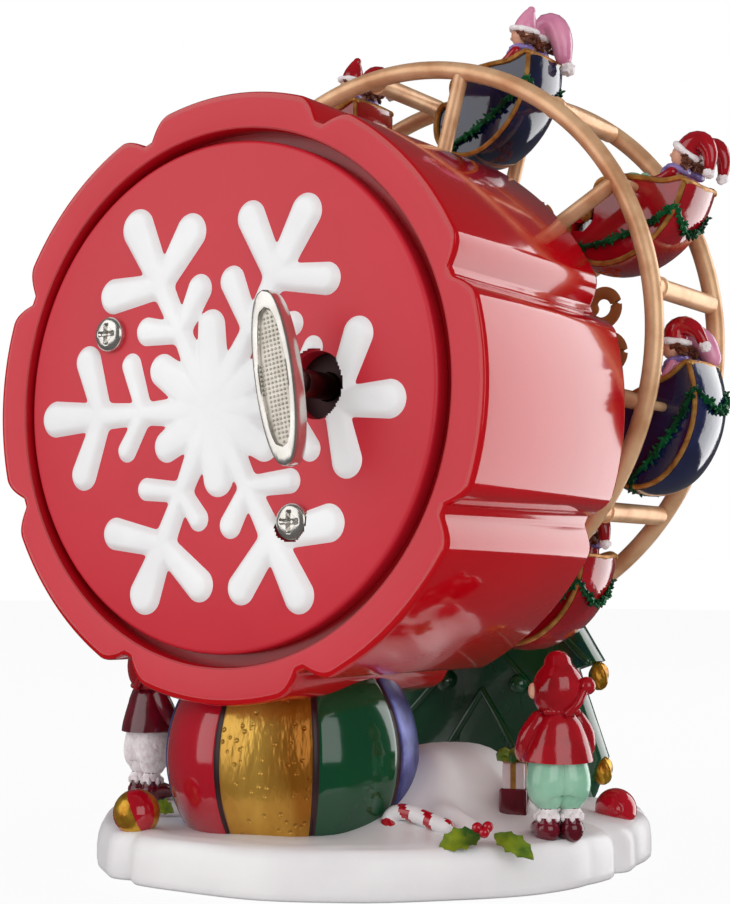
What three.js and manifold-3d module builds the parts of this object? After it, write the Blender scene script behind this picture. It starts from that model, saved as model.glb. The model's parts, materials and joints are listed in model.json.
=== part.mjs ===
// Musical ferris wheel figurine: a wind-up musical drum on an ornament ball, with a turning wheel of sleighs.
// Millimetres, +Z up. The wheel is at the front and faces -Y, the winding key is at the back and faces +Y.
// The origin is the centre of the flat underside of the snow base.
import * as THREE from 'three';
import { mergeVertices } from 'three/addons/utils/BufferGeometryUtils.js';
import Module from 'manifold-3d';

const wasm = await Module();
wasm.setup();

// Clearances
const seatGap = 0.3;
const runningGap = 0.4;
const cutOverrun = 1;
const weldDistance = 0.0001;
const simplifyDistance = 0.03;

// Snow base
const baseRadius = 50;
const snowHeight = 8;
const snowShoulder = 2.2;
const shoulderDropShare = 1 / 3;
const baseFootChamfer = 0.6;
const baseOutlineAngles = [90, 106, 122, 140, 160, 180, 200, 215, 230, 245, 258, 270];
const baseOutlineShares = [0.955, 0.97, 0.955, 0.94, 0.96, 0.95, 0.965, 1.02, 1.07, 1.07, 1.04, 1.05];
const moundHeight = 14;
const moundOffset = 12.5;
const moundBack = -4.5;
const moundSpreadX = 11;
const moundSpreadY = 7.5;
const footprintDepth = 0.5;

// Ornament ball: its round would end a little below the ground, and its top reaches into the drum's underside
const ballRadiusShare = 0.424;
const ballPlaceShares = [0.04, 0.35];
const ballSunk = 2.3;
const ballInDrum = 12.1;
const ballSeatHeight = 3.2;
const ballRadius = ballRadiusShare * baseRadius;
const ballHeight = ballRadius - ballSunk;
const [ballSide, ballBack] = ballPlaceShares.map((share) => share * baseRadius);

// Drum housing, which stands on the ball
const drumBack = 40.5;
const drumDepth = 45.6;
const drumLobeRadius = 49;
const drumHeight = ballHeight + ballRadius - ballInDrum + drumLobeRadius;
const notchDepth = 3;
const drumRimWidth = 6.1;
const coverLedgeWidth = 3.1;
const drumRimInnerRadius = drumLobeRadius - drumRimWidth;
const drumCavityRadius = drumRimInnerRadius - coverLedgeWidth;
const drumFrontWall = 3.6;
const drumRimRound = 0.5;
const coverSeatDepth = 3.8;
const notchHalfAngle = 6.5;
const notchTurn = 1.85;
const lobeCount = 8;

// Rear cover, screws and snowflake
const coverGap = 1.7;
const coverRadius = drumRimInnerRadius - coverGap;
const coverThickness = 3;
const coverShiftX = 1;
const coverShiftZ = 0.2;
const keyholeRadius = 5.3;
const keyShare = -0.4623;
const keyX = keyShare * drumCavityRadius;
const keyRise = 0.8;
const keyZ = drumHeight + keyRise;
// Places of the screws from the drum's centre, as shares of the cover's radius
const screwShares = [[0.587, 0.284], [-0.344, -0.49]];
const screwPlaces = screwShares.map(([x, z]) => [x * coverRadius, drumHeight + z * coverRadius]);
const screwHeadRadius = 2.95;
const screwHeadHeight = 1.5;
const screwShankRadius = 1.4;
const screwSlotWidth = 0.8;
const screwSlotDepth = 0.6;
const flakeMargin = 3.9;
const flakeRadius = coverRadius - flakeMargin;
const flakeDrop = 1.6;
const flakeShiftX = 1.3;
const flakeThickness = 1.3;
const flakeArmCount = 6;
// Each lobe: start along the arm, start turn in degrees, end distance, end turn, start and end half width
const flakeLobeShares = [
  [0, 0, 0.896, 0, 0.09, 0.104],
  [0.56, 0, 0.75, 22.7, 0.07, 0.09],
  [0.56, 0, 0.75, -22.7, 0.07, 0.09],
  [0.27, 0, 0.5, 24, 0.07, 0.065],
  [0.27, 0, 0.5, -24, 0.07, 0.065],
  [0, 0, 0.315, 30, 0.12, 0.085],
];
const flakeHubShare = 0.23;

// Winding key
const keyHeadLength = 26.4;
const keyHeadWidth = 8.4;
const keyHeadThickness = 3;
const keyHeadBack = 49.2;
const keyPanelDepth = 0.5;
const keyRimWidth = 1.3;
const keyTurn = -10;
const keyHeadShift = -1;
const keyCollarRadius = 2.7;
const keyCollarLength = 2.4;
const arborRadius = 2.1;

// Musical movement behind the cover
const plateThickness = 2.2;
const plateHalfWidthShare = 0.754;
const plateDropShare = 0.553;
const plateRiseShare = 0.49;
const plateHalfWidth = plateHalfWidthShare * drumCavityRadius;
const plateLow = drumHeight - plateDropShare * drumCavityRadius;
const plateHigh = drumHeight + plateRiseShare * drumCavityRadius;
const plateCornerRadius = 3;
const barrelRadius = 11.6;
const barrelWall = 0.9;
const barrelLength = 17.6;
const barrelLid = 1.2;
const crownReach = 13.9;
const gearWidth = 2.4;
const driveTeeth = 36;
const outputTeeth = 24;
const toothHeightShare = 0.72;
const toothRootShare = 0.95;
const toothTopShare = 0.22;
const toothBaseShare = 0.44;
const cylinderRadius = 6.2;
const cylinderLengthShare = 0.5528;
const cylinderLength = cylinderLengthShare * drumCavityRadius;
const cylinderAxleRadius = 1.1;
const bearingLugThickness = 1.6;
const bearingLugHalfWidth = 3.4;
const pinionReach = 12.1;
const combThickness = 1;
const combTeeth = 18;
const combToothLength = 8.6;
const combHeelLength = 6;
const combSlitShare = 0.35;
const governorWidth = 8;
const governorHalfHeight = 7;
const governorDepth = 17;
const fanRadius = 3.4;
const fanHeight = 4;
const fanShaftRadius = 0.7;
const fanBladeThickness = 0.8;
const springTurns = 3;
const springStrip = 0.5;

// Wheel
const axleRise = 14;
const wheelHeight = drumHeight + axleRise;
const ringRadius = 51;
const tubeRadius = 1.5;
const beadRadius = 1;
const rearRingBack = -11.7;
const frontRingBack = -37.3;
const spokeRadius = 1.45;
const crossbarRadius = 1.6;
const hubRadius = 5;
const hubHalfLength = 2.2;
const axleRadius = 2;
const axleFront = -44.2;
const sleighCount = 8;
const spokeAngle = 30;
const crossbarAngle = 7.5;
const scrollCentreRadius = 29;
const scrollLobeRadius = 3.9;
const scrollLobeShift = 4.6;
const scrollStripWidth = 1.9;
const scrollThickness = 1;
const scrollSpanRadius = 24.6;
const scrollSweep = 300;
const scrollTaperShare = 1 / 3;
const scrollBallShare = 2 / 3;
const pinRadius = 0.8;

// Front bush
const bushRadius = 4.4;
const bushFlangeRadius = 6.2;
const bushFlange = 1;

// Tree-shaped front stand that carries the far end of the axle
const treeBack = -41.6;
const treeThickness = 5;
const treeFoot = 5.4;
const treeCrown = 12;
const treeTop = wheelHeight + treeCrown;
const treeHalfWidth = 25.3;
// Half outline of the tiers: width as a share of the widest tip, height as a share of the tree's height
const treeOutlineShares = [
  [0.84, 0], [0.9, 0.03], [1, 0.1], [0.76, 0.265], [0.97, 0.284], [0.5, 0.47],
  [0.69, 0.487], [0.31, 0.66], [0.45, 0.675], [0.18, 0.82], [0.26, 0.832], [0, 1],
];
const treeHubRadius = 6;
const treeHubDepth = 3;
const ridgeRadius = 0.7;
const ridgeSlope = 38;
const ridgeTopShares = [0.5, 0.34, 0.22];
const ridgeReachShare = 0.6;
const baubleRadius = 2.1;
const baubleStretchShare = 1.3;
// Gold baubles under the tier tips: width share and height share of the tree
const baublePlaceShares = [[0.95, 0.255], [0.98, 0.075]];
const greenBaubleRadius = 2;
const greenBaublePlaceShares = [0.33, 0.235];

// Sleighs, in their own frame: pivot at the origin, nose towards +X
const sleighLength = 22;
const sleighHeight = 18.4;
const sleighWidth = 12.5;
const sleighWall = 1.3;
const sleighTilts = [-17, 0, 4, -3, 3, 0, -6, 25];
// Place of the pin in each sleigh: ahead of the middle, and above it
const sleighPinPlaces = [
  [-1, 2], [0, 1.2], [0.9, 0.1], [0, 1.2], [0, 1.2], [0, 1.2], [-2.2, -1.8], [-2.5, 0.3],
];
// Side outline: distance ahead of the pivot and height above it, as shares of length and height
const sleighOutlineShares = [
  [-0.468, 0.25], [-0.482, 0.082], [-0.45, -0.082], [-0.377, -0.239], [-0.282, -0.38], [-0.159, -0.533],
  [-0.023, -0.63], [0.114, -0.668], [0.255, -0.652], [0.391, -0.571], [0.482, -0.446], [0.509, -0.31],
  [0.482, -0.201], [0.409, -0.147], [0.336, -0.174], [0.309, -0.255], [0.341, -0.326], [0.4, -0.332],
  [0.391, -0.413], [0.3, -0.397], [0.241, -0.283], [0.264, -0.103], [0.282, 0.033], [0.25, 0.114],
  [0.105, 0.179], [-0.091, 0.212], [-0.273, 0.223], [-0.418, 0.283],
];
const cavityOutlineShares = [
  [-0.405, 0.435], [-0.414, 0.076], [-0.318, -0.228], [-0.145, -0.435], [0, -0.533], [0.136, -0.538],
  [0.182, -0.467], [0.191, 0.435],
];
const blanketOutlineShares = [
  [-0.386, 0.196], [-0.391, 0.076], [-0.3, -0.217], [-0.136, -0.413], [0.005, -0.511], [0.127, -0.516],
  [0.164, -0.457], [0.173, 0.033], [0.073, 0.098], [-0.136, 0.141],
];

// Riders, in the sleigh's frame, as shares of the rider's height above the pivot
const riderHeight = 15.6;
const riderSpacing = 2.7;
// Body and head: ahead of the pivot, height, half length, half width, half height
const riderFormShares = [
  [-0.378, 0.218, 0.167, 0.163, 0.295],
  [-0.487, 0.609, 0.16, 0.16, 0.173],
];
const hatFootShares = [-0.513, 0.667];
const hatTipShares = [[-0.526, 0.885], [-0.833, 0.487]];
const hatBaseShare = 0.175;
const pomShare = 0.09;

// Elves, facing -Y with the feet at height zero, as shares of the elf's height
const elfHeightShare = 0.59;
const elfHeight = elfHeightShare * baseRadius;
const elfPlaceShares = [0.82, 0.18];
const [elfX, elfY] = elfPlaceShares.map((share) => share * baseRadius);
const elfTurn = 14;
// Each solid of revolution: height of the foot, radius there, height of the top, radius there, stretch in Y
const elfRoundShares = [
  [0.22, 0.13, 0.43, 0.15, 0.85],
  [0.41, 0.175, 0.74, 0.085, 0.8],
  [0.7, 0.06, 0.8, 0.06, 1],
];
// Each ellipsoid: x, y, z, half sizes
const elfBallShares = [
  [0.06, -0.03, 0.055, 0.055, 0.1, 0.055],
  [-0.06, -0.03, 0.055, 0.055, 0.1, 0.055],
  [0, -0.01, 0.82, 0.115, 0.115, 0.11],
  [0, 0.005, 0.885, 0.13, 0.13, 0.115],
  [0.15, 0, 0.835, 0.045, 0.022, 0.055],
  [-0.15, 0, 0.835, 0.045, 0.022, 0.055],
  [-0.2, 0.03, 0.875, 0.055, 0.055, 0.06],
];
// Each limb: start, end and radius
const elfLimbShares = [
  [0.06, 0, 0.06, 0.06, 0, 0.26, 0.045],
  [-0.06, 0, 0.06, -0.06, 0, 0.26, 0.045],
  [0.1, 0, 0.66, 0.16, -0.09, 0.48, 0.045],
  [-0.1, 0, 0.66, -0.16, -0.09, 0.48, 0.045],
  [-0.09, 0.02, 0.9, -0.19, 0.03, 0.875, 0.05],
];
const elfPadRadius = 5.4;

// Gifts beside the right elf
const giftBesideElf = 8.7;
const giftBeforeElf = 6.4;
const giftX = giftBesideElf - elfX;
const giftY = elfY - giftBeforeElf;
const giftFoot = 7.6;
const giftSize = 5.2;
const giftTall = 6.8;
const smallGiftSize = 3.4;
const smallGiftTall = 4.2;
const bowLength = 1.5;
const bowHalfHeight = 1.3;
const bowDepthShare = 2 / 3;

// Small ornaments on the snow
const redBallShares = [-0.788, -0.4];
const redBallLift = 2.6;
const redBallRadius = 4.2;
const stripedBallShares = [0.33, 0.804];
const stripedBallLift = 2.2;
const stripedBallRadius = 3.9;
const caneRadius = 1.25;
const caneLift = 0.5;
// The cane's curve, as shares of the base's radius
const caneShares = [
  [-0.61, 0.396], [-0.52, 0.364], [-0.448, 0.332], [-0.406, 0.318], [-0.382, 0.336], [-0.384, 0.376],
  [-0.396, 0.406],
];
const leafLengthShare = 0.14;
const leafLength = leafLengthShare * baseRadius;
const leafHalfWidth = 2.1;
const leafTipShare = 1 / 3;
const leafThickness = 1;
const berryRadius = 1;
const berryPlaceShare = 2 / 3;
const hollyLift = 0.5;
// Each holly: place as shares of the base's radius, and its turn; then the turns of a sprig's two leaves
const hollyRightShares = [-0.73, 0.416];
const hollyRightTurn = 0;
const hollyLeftShares = [0.52, 0.49];
const hollyLeftTurn = -80;
const leafTurns = [148, 20];

// Facet counts
const roundFacets = 24;
const smallFacets = 12;
const tinyFacets = 8;
const ringFacets = 48;
const tubeFacets = 6;
const ballFacets = 30;
const smallBallFacets = 14;
const coverFacets = 64;
const baseSectors = 44;
const lobeFacets = 5;
const notchFacets = 6;
const flakeFacets = 5;
const elfFacets = 8;
const riderFacets = 6;
const scrollFacets = 5;
const springFacets = 10;
const cornerFacets = 3;

// Finishes
function finish(colour, roughness, metalness) {
  return new THREE.MeshStandardMaterial({ color: colour, roughness, metalness });
}
const finishes = {
  snow: finish(0xf2efec, 0.6, 0),
  redGloss: finish(0xb00d22, 0.15, 0),
  redSatin: finish(0xc2243a, 0.4, 0),
  white: finish(0xf4f4f4, 0.5, 0),
  green: finish(0x0c4f2c, 0.2, 0),
  navy: finish(0x14204e, 0.2, 0),
  gold: finish(0xc79a62, 0.4, 0.8),
  brightGold: finish(0xd9a93c, 0.3, 0.6),
  steel: finish(0xc9c9cc, 0.25, 1),
  brass: finish(0xc8a24a, 0.3, 1),
  cloth: finish(0xd08aa0, 0.6, 0),
  burgundy: finish(0x5c1226, 0.4, 0),
};

// Geometry helpers
const radians = THREE.MathUtils.degToRad;
const quarterTurn = 90;

function solidOf(geometry) {
  const bare = geometry.clone();
  bare.deleteAttribute('normal');
  bare.deleteAttribute('uv');
  const merged = mergeVertices(bare, weldDistance);
  const places = merged.attributes.position.array;
  const corners = merged.index.array;
  const kept = [];
  let volume = 0;
  for (let i = 0; i < corners.length; i += 3) {
    const [a, b, c] = [corners[i], corners[i + 1], corners[i + 2]];
    if (a === b || b === c || c === a) continue;
    kept.push([a, b, c]);
    const p = new THREE.Vector3().fromArray(places, a * 3);
    const q = new THREE.Vector3().fromArray(places, b * 3);
    const r = new THREE.Vector3().fromArray(places, c * 3);
    volume += p.dot(q.cross(r));
  }
  const facing = kept.map(([a, b, c]) => (volume < 0 ? [a, c, b] : [a, b, c]));
  const mesh = new wasm.Mesh({
    numProp: 3,
    vertProperties: new Float32Array(places),
    triVerts: new Uint32Array(facing.flat()),
  });
  return new wasm.Manifold(mesh);
}

function joined(solids) {
  return solids.reduce((whole, solid) => whole.add(solid));
}

function cutBy(solid, tools) {
  return tools.reduce((rest, tool) => rest.subtract(tool), solid);
}

function boxSolid(low, high) {
  const size = high.map((value, axis) => value - low[axis]);
  const middle = high.map((value, axis) => (value + low[axis]) / 2);
  return solidOf(new THREE.BoxGeometry(...size).translate(...middle));
}

function ellipsoidSolid(centre, halfSizes, facets = smallFacets) {
  const geometry = new THREE.SphereGeometry(1, facets, Math.round(facets / 2));
  return solidOf(geometry.rotateX(Math.PI / 2).scale(...halfSizes).translate(...centre));
}

function ballSolid(centre, radius, facets = smallFacets) {
  return ellipsoidSolid(centre, [radius, radius, radius], facets);
}

// A straight round bar between two points, which may taper
function barSolid(from, to, radius, facets = smallFacets, endRadius = radius) {
  const start = new THREE.Vector3(...from);
  const end = new THREE.Vector3(...to);
  const along = end.clone().sub(start);
  const geometry = new THREE.CylinderGeometry(endRadius, radius, along.length(), facets);
  const turn = new THREE.Quaternion().setFromUnitVectors(new THREE.Vector3(0, 1, 0), along.normalize());
  geometry.applyQuaternion(turn);
  geometry.translate(...start.add(end).multiplyScalar(1 / 2).toArray());
  return solidOf(geometry);
}

// A solid turned about the Y axis from radius and Y pairs
function turnedSolid(profile, facets = roundFacets) {
  const points = profile.map(([radius, y]) => new THREE.Vector2(radius, y));
  return solidOf(new THREE.LatheGeometry(points, facets));
}

// A flat shape drawn in X and Z, with its front at the first Y and its back at the second
function slabSolid(outline, front, back, round = 0) {
  const shape = outline instanceof THREE.Shape ? outline : new THREE.Shape(outline);
  const geometry = new THREE.ExtrudeGeometry(shape, {
    depth: back - front - 2 * round,
    bevelEnabled: round > 0,
    bevelThickness: round,
    bevelSize: round,
    bevelOffset: -round,
    bevelSegments: 1,
    curveSegments: smallFacets,
  });
  return solidOf(geometry.rotateX(Math.PI / 2).translate(0, back - round, 0));
}

// Several outlines in X and Z joined into one flat plate between a front Y and a back Y
function flatSolid(outlines, front, back) {
  const flats = outlines.map((outline) => {
    const corners = outline.map(({ x, y }) => [x, y]);
    return new wasm.CrossSection([corners], 'NonZero');
  });
  const whole = flats.reduce((sum, flat) => sum.add(flat));
  return whole.extrude(back - front).rotate([quarterTurn, 0, 0]).translate(0, back, 0);
}

function pointAt(angle, radius, centreX = 0, centreZ = 0) {
  const turn = radians(angle);
  return new THREE.Vector2(centreX + radius * Math.cos(turn), centreZ + radius * Math.sin(turn));
}

function circleOutline(centreX, centreZ, radius, facets) {
  return Array.from({ length: facets }, (_, i) => pointAt((360 * i) / facets, radius, centreX, centreZ));
}

// A slot with round ends of different radii, from one point to another
function slotOutline(start, end, startRadius, endRadius, facets) {
  const along = (Math.atan2(end.y - start.y, end.x - start.x) * 180) / Math.PI;
  const lean = (Math.asin((startRadius - endRadius) / start.distanceTo(end)) * 180) / Math.PI;
  const outline = [];
  const nearSweep = 180 + 2 * lean;
  const farSweep = 180 - 2 * lean;
  for (let i = 0; i <= facets; i += 1) {
    outline.push(pointAt(along - 90 + lean + (farSweep * i) / facets, endRadius, end.x, end.y));
  }
  for (let i = 0; i <= facets; i += 1) {
    outline.push(pointAt(along + 90 - lean + (nearSweep * i) / facets, startRadius, start.x, start.y));
  }
  return outline;
}

// A closed skin over rings of points, whose first and last ring are single points
function loftSolid(rings) {
  const places = [];
  const faces = [];
  const starts = rings.map((ring) => {
    const start = places.length / 3;
    ring.forEach((point) => places.push(...point));
    return start;
  });
  const sides = Math.max(...rings.map((ring) => ring.length));
  for (let r = 0; r + 1 < rings.length; r += 1) {
    for (let i = 0; i < sides; i += 1) {
      const next = (i + 1) % sides;
      const low = rings[r].length === 1 ? [0, 0] : [i, next];
      const high = rings[r + 1].length === 1 ? [0, 0] : [i, next];
      const [lowStart, lowNext] = low.map((corner) => starts[r] + corner);
      const [highStart, highNext] = high.map((corner) => starts[r + 1] + corner);
      if (rings[r].length > 1) faces.push(lowStart, lowNext, highNext);
      if (rings[r + 1].length > 1) faces.push(lowStart, highNext, highStart);
    }
  }
  const geometry = new THREE.BufferGeometry();
  geometry.setAttribute('position', new THREE.Float32BufferAttribute(places, 3));
  geometry.setIndex(faces);
  return solidOf(geometry);
}

// Adds one named mesh to a group
function addPiece(group, name, solid, material) {
  const mesh = solid.simplify(simplifyDistance).getMesh();
  const geometry = new THREE.BufferGeometry();
  const places = new Float32Array(mesh.numVert * 3);
  for (let v = 0; v < mesh.numVert; v += 1) {
    const start = v * mesh.numProp;
    places.set(mesh.vertProperties.subarray(start, start + 3), v * 3);
  }
  geometry.setAttribute('position', new THREE.BufferAttribute(places, 3));
  geometry.setIndex(new THREE.BufferAttribute(new Uint32Array(mesh.triVerts), 1));
  geometry.computeVertexNormals();
  const piece = new THREE.Mesh(geometry, material.clone());
  piece.name = name;
  group.add(piece);
  return piece;
}

const figurine = new THREE.Group();

// Outline of the snow base, alike on both sides
function baseReach(angle) {
  const turned = ((angle % 360) + 360) % 360;
  const mirrored = turned < 90 || turned > 270 ? (540 - turned) % 360 : turned;
  let step = 0;
  while (step + 2 < baseOutlineAngles.length && mirrored > baseOutlineAngles[step + 1]) step += 1;
  const span = baseOutlineAngles[step + 1] - baseOutlineAngles[step];
  const along = (mirrored - baseOutlineAngles[step]) / span;
  const smooth = along * along * (3 - 2 * along);
  const share = baseOutlineShares[step] * (1 - smooth) + baseOutlineShares[step + 1] * smooth;
  return baseRadius * share;
}

// Height of the snow above the underside
function snowAt(x, y) {
  const bump = (centre) => {
    const across = (x - centre) / moundSpreadX;
    const back = (y - moundBack) / moundSpreadY;
    return moundHeight * Math.exp(-across * across - back * back);
  };
  return snowHeight + Math.max(bump(moundOffset), bump(-moundOffset));
}

function snowSolid() {
  const ring = (share, height) => Array.from({ length: baseSectors }, (_, i) => {
    const angle = (360 * i) / baseSectors;
    const x = baseReach(angle) * share * Math.cos(radians(angle));
    const y = baseReach(angle) * share * Math.sin(radians(angle));
    return [x, y, height === null ? snowAt(x, y) : height];
  });
  const chamferShare = 1 - baseFootChamfer / baseRadius;
  const shoulderShare = 1 - snowShoulder / baseRadius;
  const innerShares = [0.78, 0.58, 0.4, 0.2];
  return loftSolid([
    [[0, 0, 0]],
    ring(chamferShare, 0),
    ring(1, baseFootChamfer),
    ring(1, snowHeight - snowShoulder),
    ring((1 + shoulderShare) / 2, snowHeight - snowShoulder * shoulderDropShare),
    ring(shoulderShare, snowHeight),
    ...innerShares.map((share) => ring(share, null)),
    [[0, 0, snowAt(0, 0)]],
  ]);
}

// A pocket in the snow with a flat floor
function padTool(x, y, radius, floor) {
  const top = snowHeight + moundHeight + cutOverrun;
  return barSolid([x, y, floor], [x, y, top], radius, roundFacets);
}

// Outline of the drum: eight lobes with a rounded notch between each two
function drumOutline(grow) {
  const outline = [];
  const lobeAngle = 360 / lobeCount;
  for (let lobe = 0; lobe < lobeCount; lobe += 1) {
    const notch = (lobe + 1 / 2) * lobeAngle + notchTurn;
    for (let i = 0; i <= notchFacets; i += 1) {
      const part = (2 * i) / notchFacets - 1;
      const rise = Math.sin((Math.PI / 2) * Math.abs(part));
      const radius = drumLobeRadius - notchDepth * (1 - rise) + grow;
      outline.push(pointAt(notch + notchHalfAngle * part, radius, 0, drumHeight));
    }
    const flat = lobeAngle - 2 * notchHalfAngle;
    for (let i = 1; i < lobeFacets; i += 1) {
      const angle = notch + notchHalfAngle + (flat * i) / lobeFacets;
      outline.push(pointAt(angle, drumLobeRadius + grow, 0, drumHeight));
    }
  }
  return outline;
}

const drumFront = drumBack - drumDepth;
const coverBack = drumBack - coverSeatDepth + coverThickness;
const coverFront = coverBack - coverThickness;
const plateBack = coverFront;
const plateFront = plateBack - plateThickness;

// Ornament ball, flat at its foot and cut on top to seat the drum
function buildBall() {
  const centre = [ballSide, ballBack, ballHeight];
  const ball = ballSolid(centre, ballRadius, ballFacets);
  const reach = 2 * ballRadius;
  const below = boxSolid([-reach, ballBack - reach, -reach], [reach, ballBack + reach, ballSeatHeight]);
  const drumTool = slabSolid(drumOutline(seatGap), drumFront - cutOverrun, drumBack + cutOverrun);
  addPiece(figurine, 'ornament_ball', cutBy(ball, [below, drumTool]), finishes.redGloss);
  return ballSolid(centre, ballRadius + seatGap, ballFacets).subtract(below);
}

// Drum housing: a cup that is open at the back, with a ledge for the cover
function buildHousing() {
  const body = slabSolid(drumOutline(0), drumFront, drumBack, drumRimRound);
  const recess = barSolid(
    [0, drumBack - coverSeatDepth, drumHeight],
    [0, drumBack + cutOverrun, drumHeight],
    drumRimInnerRadius,
    coverFacets,
  );
  const cavity = barSolid(
    [0, drumFront + drumFrontWall, drumHeight],
    [0, drumBack, drumHeight],
    drumCavityRadius,
    coverFacets,
  );
  const bushHole = barSolid(
    [0, drumFront - cutOverrun, wheelHeight],
    [0, drumFront + drumFrontWall + cutOverrun, wheelHeight],
    bushRadius + seatGap,
  );
  addPiece(figurine, 'drum_housing', cutBy(body, [recess, cavity, bushHole]), finishes.redGloss);
}

// Brass bush in the front wall
function buildBush() {
  const back = drumFront + drumFrontWall;
  const bore = axleRadius + seatGap;
  const bush = turnedSolid([
    [bore, drumFront - bushFlange], [bushFlangeRadius, drumFront - bushFlange], [bushFlangeRadius, drumFront],
    [bushRadius, drumFront], [bushRadius, back], [bore, back], [bore, drumFront - bushFlange],
  ]);
  addPiece(figurine, 'front_bush', bush.translate(0, 0, wheelHeight), finishes.brass);
}

// Snowflake relief: six arms of round-ended lobes round a hub, on the back of the cover
function flakeSolid(front, back) {
  const centreX = flakeShiftX;
  const centreZ = drumHeight - flakeDrop;
  const lobes = [circleOutline(centreX, centreZ, flakeHubShare * flakeRadius, roundFacets)];
  for (let arm = 0; arm < flakeArmCount; arm += 1) {
    const armAngle = (360 * arm) / flakeArmCount;
    flakeLobeShares.forEach(([startShare, startTurn, endShare, endTurn, startHalfShare, endHalfShare]) => {
      const start = pointAt(armAngle + startTurn, startShare * flakeRadius, centreX, centreZ);
      const end = pointAt(armAngle + endTurn, endShare * flakeRadius, centreX, centreZ);
      const halfWidths = [startHalfShare, endHalfShare].map((share) => share * flakeRadius);
      lobes.push(slotOutline(start, end, ...halfWidths, flakeFacets));
    });
  }
  return flatSolid(lobes, front, back);
}

// Rear cover with the keyhole, the screw holes and the snowflake in relief
function buildCover() {
  const disc = barSolid(
    [coverShiftX, coverFront, drumHeight + coverShiftZ],
    [coverShiftX, coverBack, drumHeight + coverShiftZ],
    coverRadius,
    coverFacets,
  );
  const holeTool = (x, z, radius) => barSolid(
    [x, coverFront - cutOverrun, z],
    [x, coverBack + flakeThickness + cutOverrun, z],
    radius,
    roundFacets,
  );
  const keyhole = holeTool(keyX, keyZ, keyholeRadius);
  const screwHoles = screwPlaces.map(([x, z]) => holeTool(x, z, screwShankRadius + seatGap));
  addPiece(figurine, 'rear_cover', cutBy(disc, [keyhole, ...screwHoles]), finishes.redSatin);

  const headHoles = screwPlaces.map(([x, z]) => holeTool(x, z, screwHeadRadius + seatGap));
  const flake = flakeSolid(coverBack, coverBack + flakeThickness);
  addPiece(figurine, 'snowflake_relief', largestPart(cutBy(flake, [keyhole, ...headHoles])), finishes.white);
}

// The largest connected part of a solid, without slivers that a cut leaves
function largestPart(solid) {
  const parts = solid.decompose();
  return parts.reduce((best, part) => (part.volume() > best.volume() ? part : best));
}

// Cross-head screws through the cover into the movement's plate
function buildCoverScrews() {
  screwPlaces.forEach(([x, z], i) => {
    const tip = plateFront - screwHeadHeight;
    const head = turnedSolid([
      [0, tip], [screwShankRadius, tip], [screwShankRadius, coverBack], [screwHeadRadius, coverBack],
      [screwHeadRadius, coverBack + screwHeadHeight / 2],
      [screwHeadRadius - screwHeadHeight / 2, coverBack + screwHeadHeight],
      [0, coverBack + screwHeadHeight],
    ], roundFacets);
    const floor = coverBack + screwHeadHeight - screwSlotDepth;
    const arm = screwHeadRadius - screwHeadHeight / 2;
    const top = coverBack + screwHeadHeight + cutOverrun;
    const half = screwSlotWidth / 2;
    const slots = [
      boxSolid([-arm, floor, -half], [arm, top, half]),
      boxSolid([-half, floor, -arm], [half, top, arm]),
    ];
    addPiece(figurine, `cover_screw_${i + 1}`, cutBy(head, slots).translate(x, 0, z), finishes.steel);
  });
}

// Winding key: an oblong oval head with a sunk panel, and the arbor that it turns
function buildKey() {
  const key = new THREE.Group();
  key.position.set(keyX, 0, keyZ);
  const ovalAt = (grow) => {
    const half = keyHeadWidth / 2 + grow;
    const reach = keyHeadLength / 2 - keyHeadWidth / 2;
    const top = pointAt(quarterTurn + keyTurn, reach, keyHeadShift);
    const bottom = pointAt(keyTurn - quarterTurn, reach, keyHeadShift);
    return slotOutline(bottom, top, half, half, roundFacets / 2);
  };
  const headFront = keyHeadBack;
  const headBack = keyHeadBack + keyHeadThickness;
  const head = slabSolid(ovalAt(0), headFront, headBack);
  const panel = slabSolid(ovalAt(-keyRimWidth), headBack - keyPanelDepth, headBack + cutOverrun);
  const socket = boredCollar(headFront - keyCollarLength, headFront + keyHeadThickness / 2);
  addPiece(key, 'winding_key', cutBy(head.add(socket.collar), [panel, socket.bore]), finishes.steel);
  const arborFront = gearFront - runningGap;
  const arborBack = headFront + keyHeadThickness / 2 - seatGap;
  const arbor = barSolid([0, arborFront, 0], [0, arborBack, 0], arborRadius);
  addPiece(key, 'key_arbor', arbor, finishes.steel);
  figurine.add(key);
}

function boredCollar(front, back) {
  return {
    collar: barSolid([0, front, 0], [0, back, 0], keyCollarRadius, roundFacets),
    bore: barSolid([0, front - cutOverrun, 0], [0, back, 0], arborRadius + seatGap, smallFacets),
  };
}

// Movement: places of its gears, worked out from the keyhole and the wheel's axis
const barrelBack = plateFront - runningGap;
const barrelFront = barrelBack - barrelLength;
const gearBack = barrelFront;
const gearFront = gearBack - gearWidth;
const gearDistance = Math.hypot(keyX, keyZ - wheelHeight);
const gearModule = (2 * gearDistance) / (driveTeeth + outputTeeth);
const gearLine = (Math.atan2(wheelHeight - keyZ, -keyX) * 180) / Math.PI;
const cylinderBack = barrelBack - crownReach / 2 - runningGap;

// Teeth of a spur gear as an outline, with one tooth or one gap at the given angle
function gearOutline(teeth, firstAngle) {
  const pitchRadius = (gearModule * teeth) / 2;
  const top = pitchRadius + toothHeightShare * gearModule;
  const root = pitchRadius - toothRootShare * gearModule;
  const step = 360 / teeth;
  const outline = [];
  for (let tooth = 0; tooth < teeth; tooth += 1) {
    const middle = firstAngle + tooth * step;
    outline.push(pointAt(middle - (step * toothBaseShare) / 2, root));
    outline.push(pointAt(middle - (step * toothTopShare) / 2, top));
    outline.push(pointAt(middle + (step * toothTopShare) / 2, top));
    outline.push(pointAt(middle + (step * toothBaseShare) / 2, root));
  }
  return outline;
}

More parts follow.
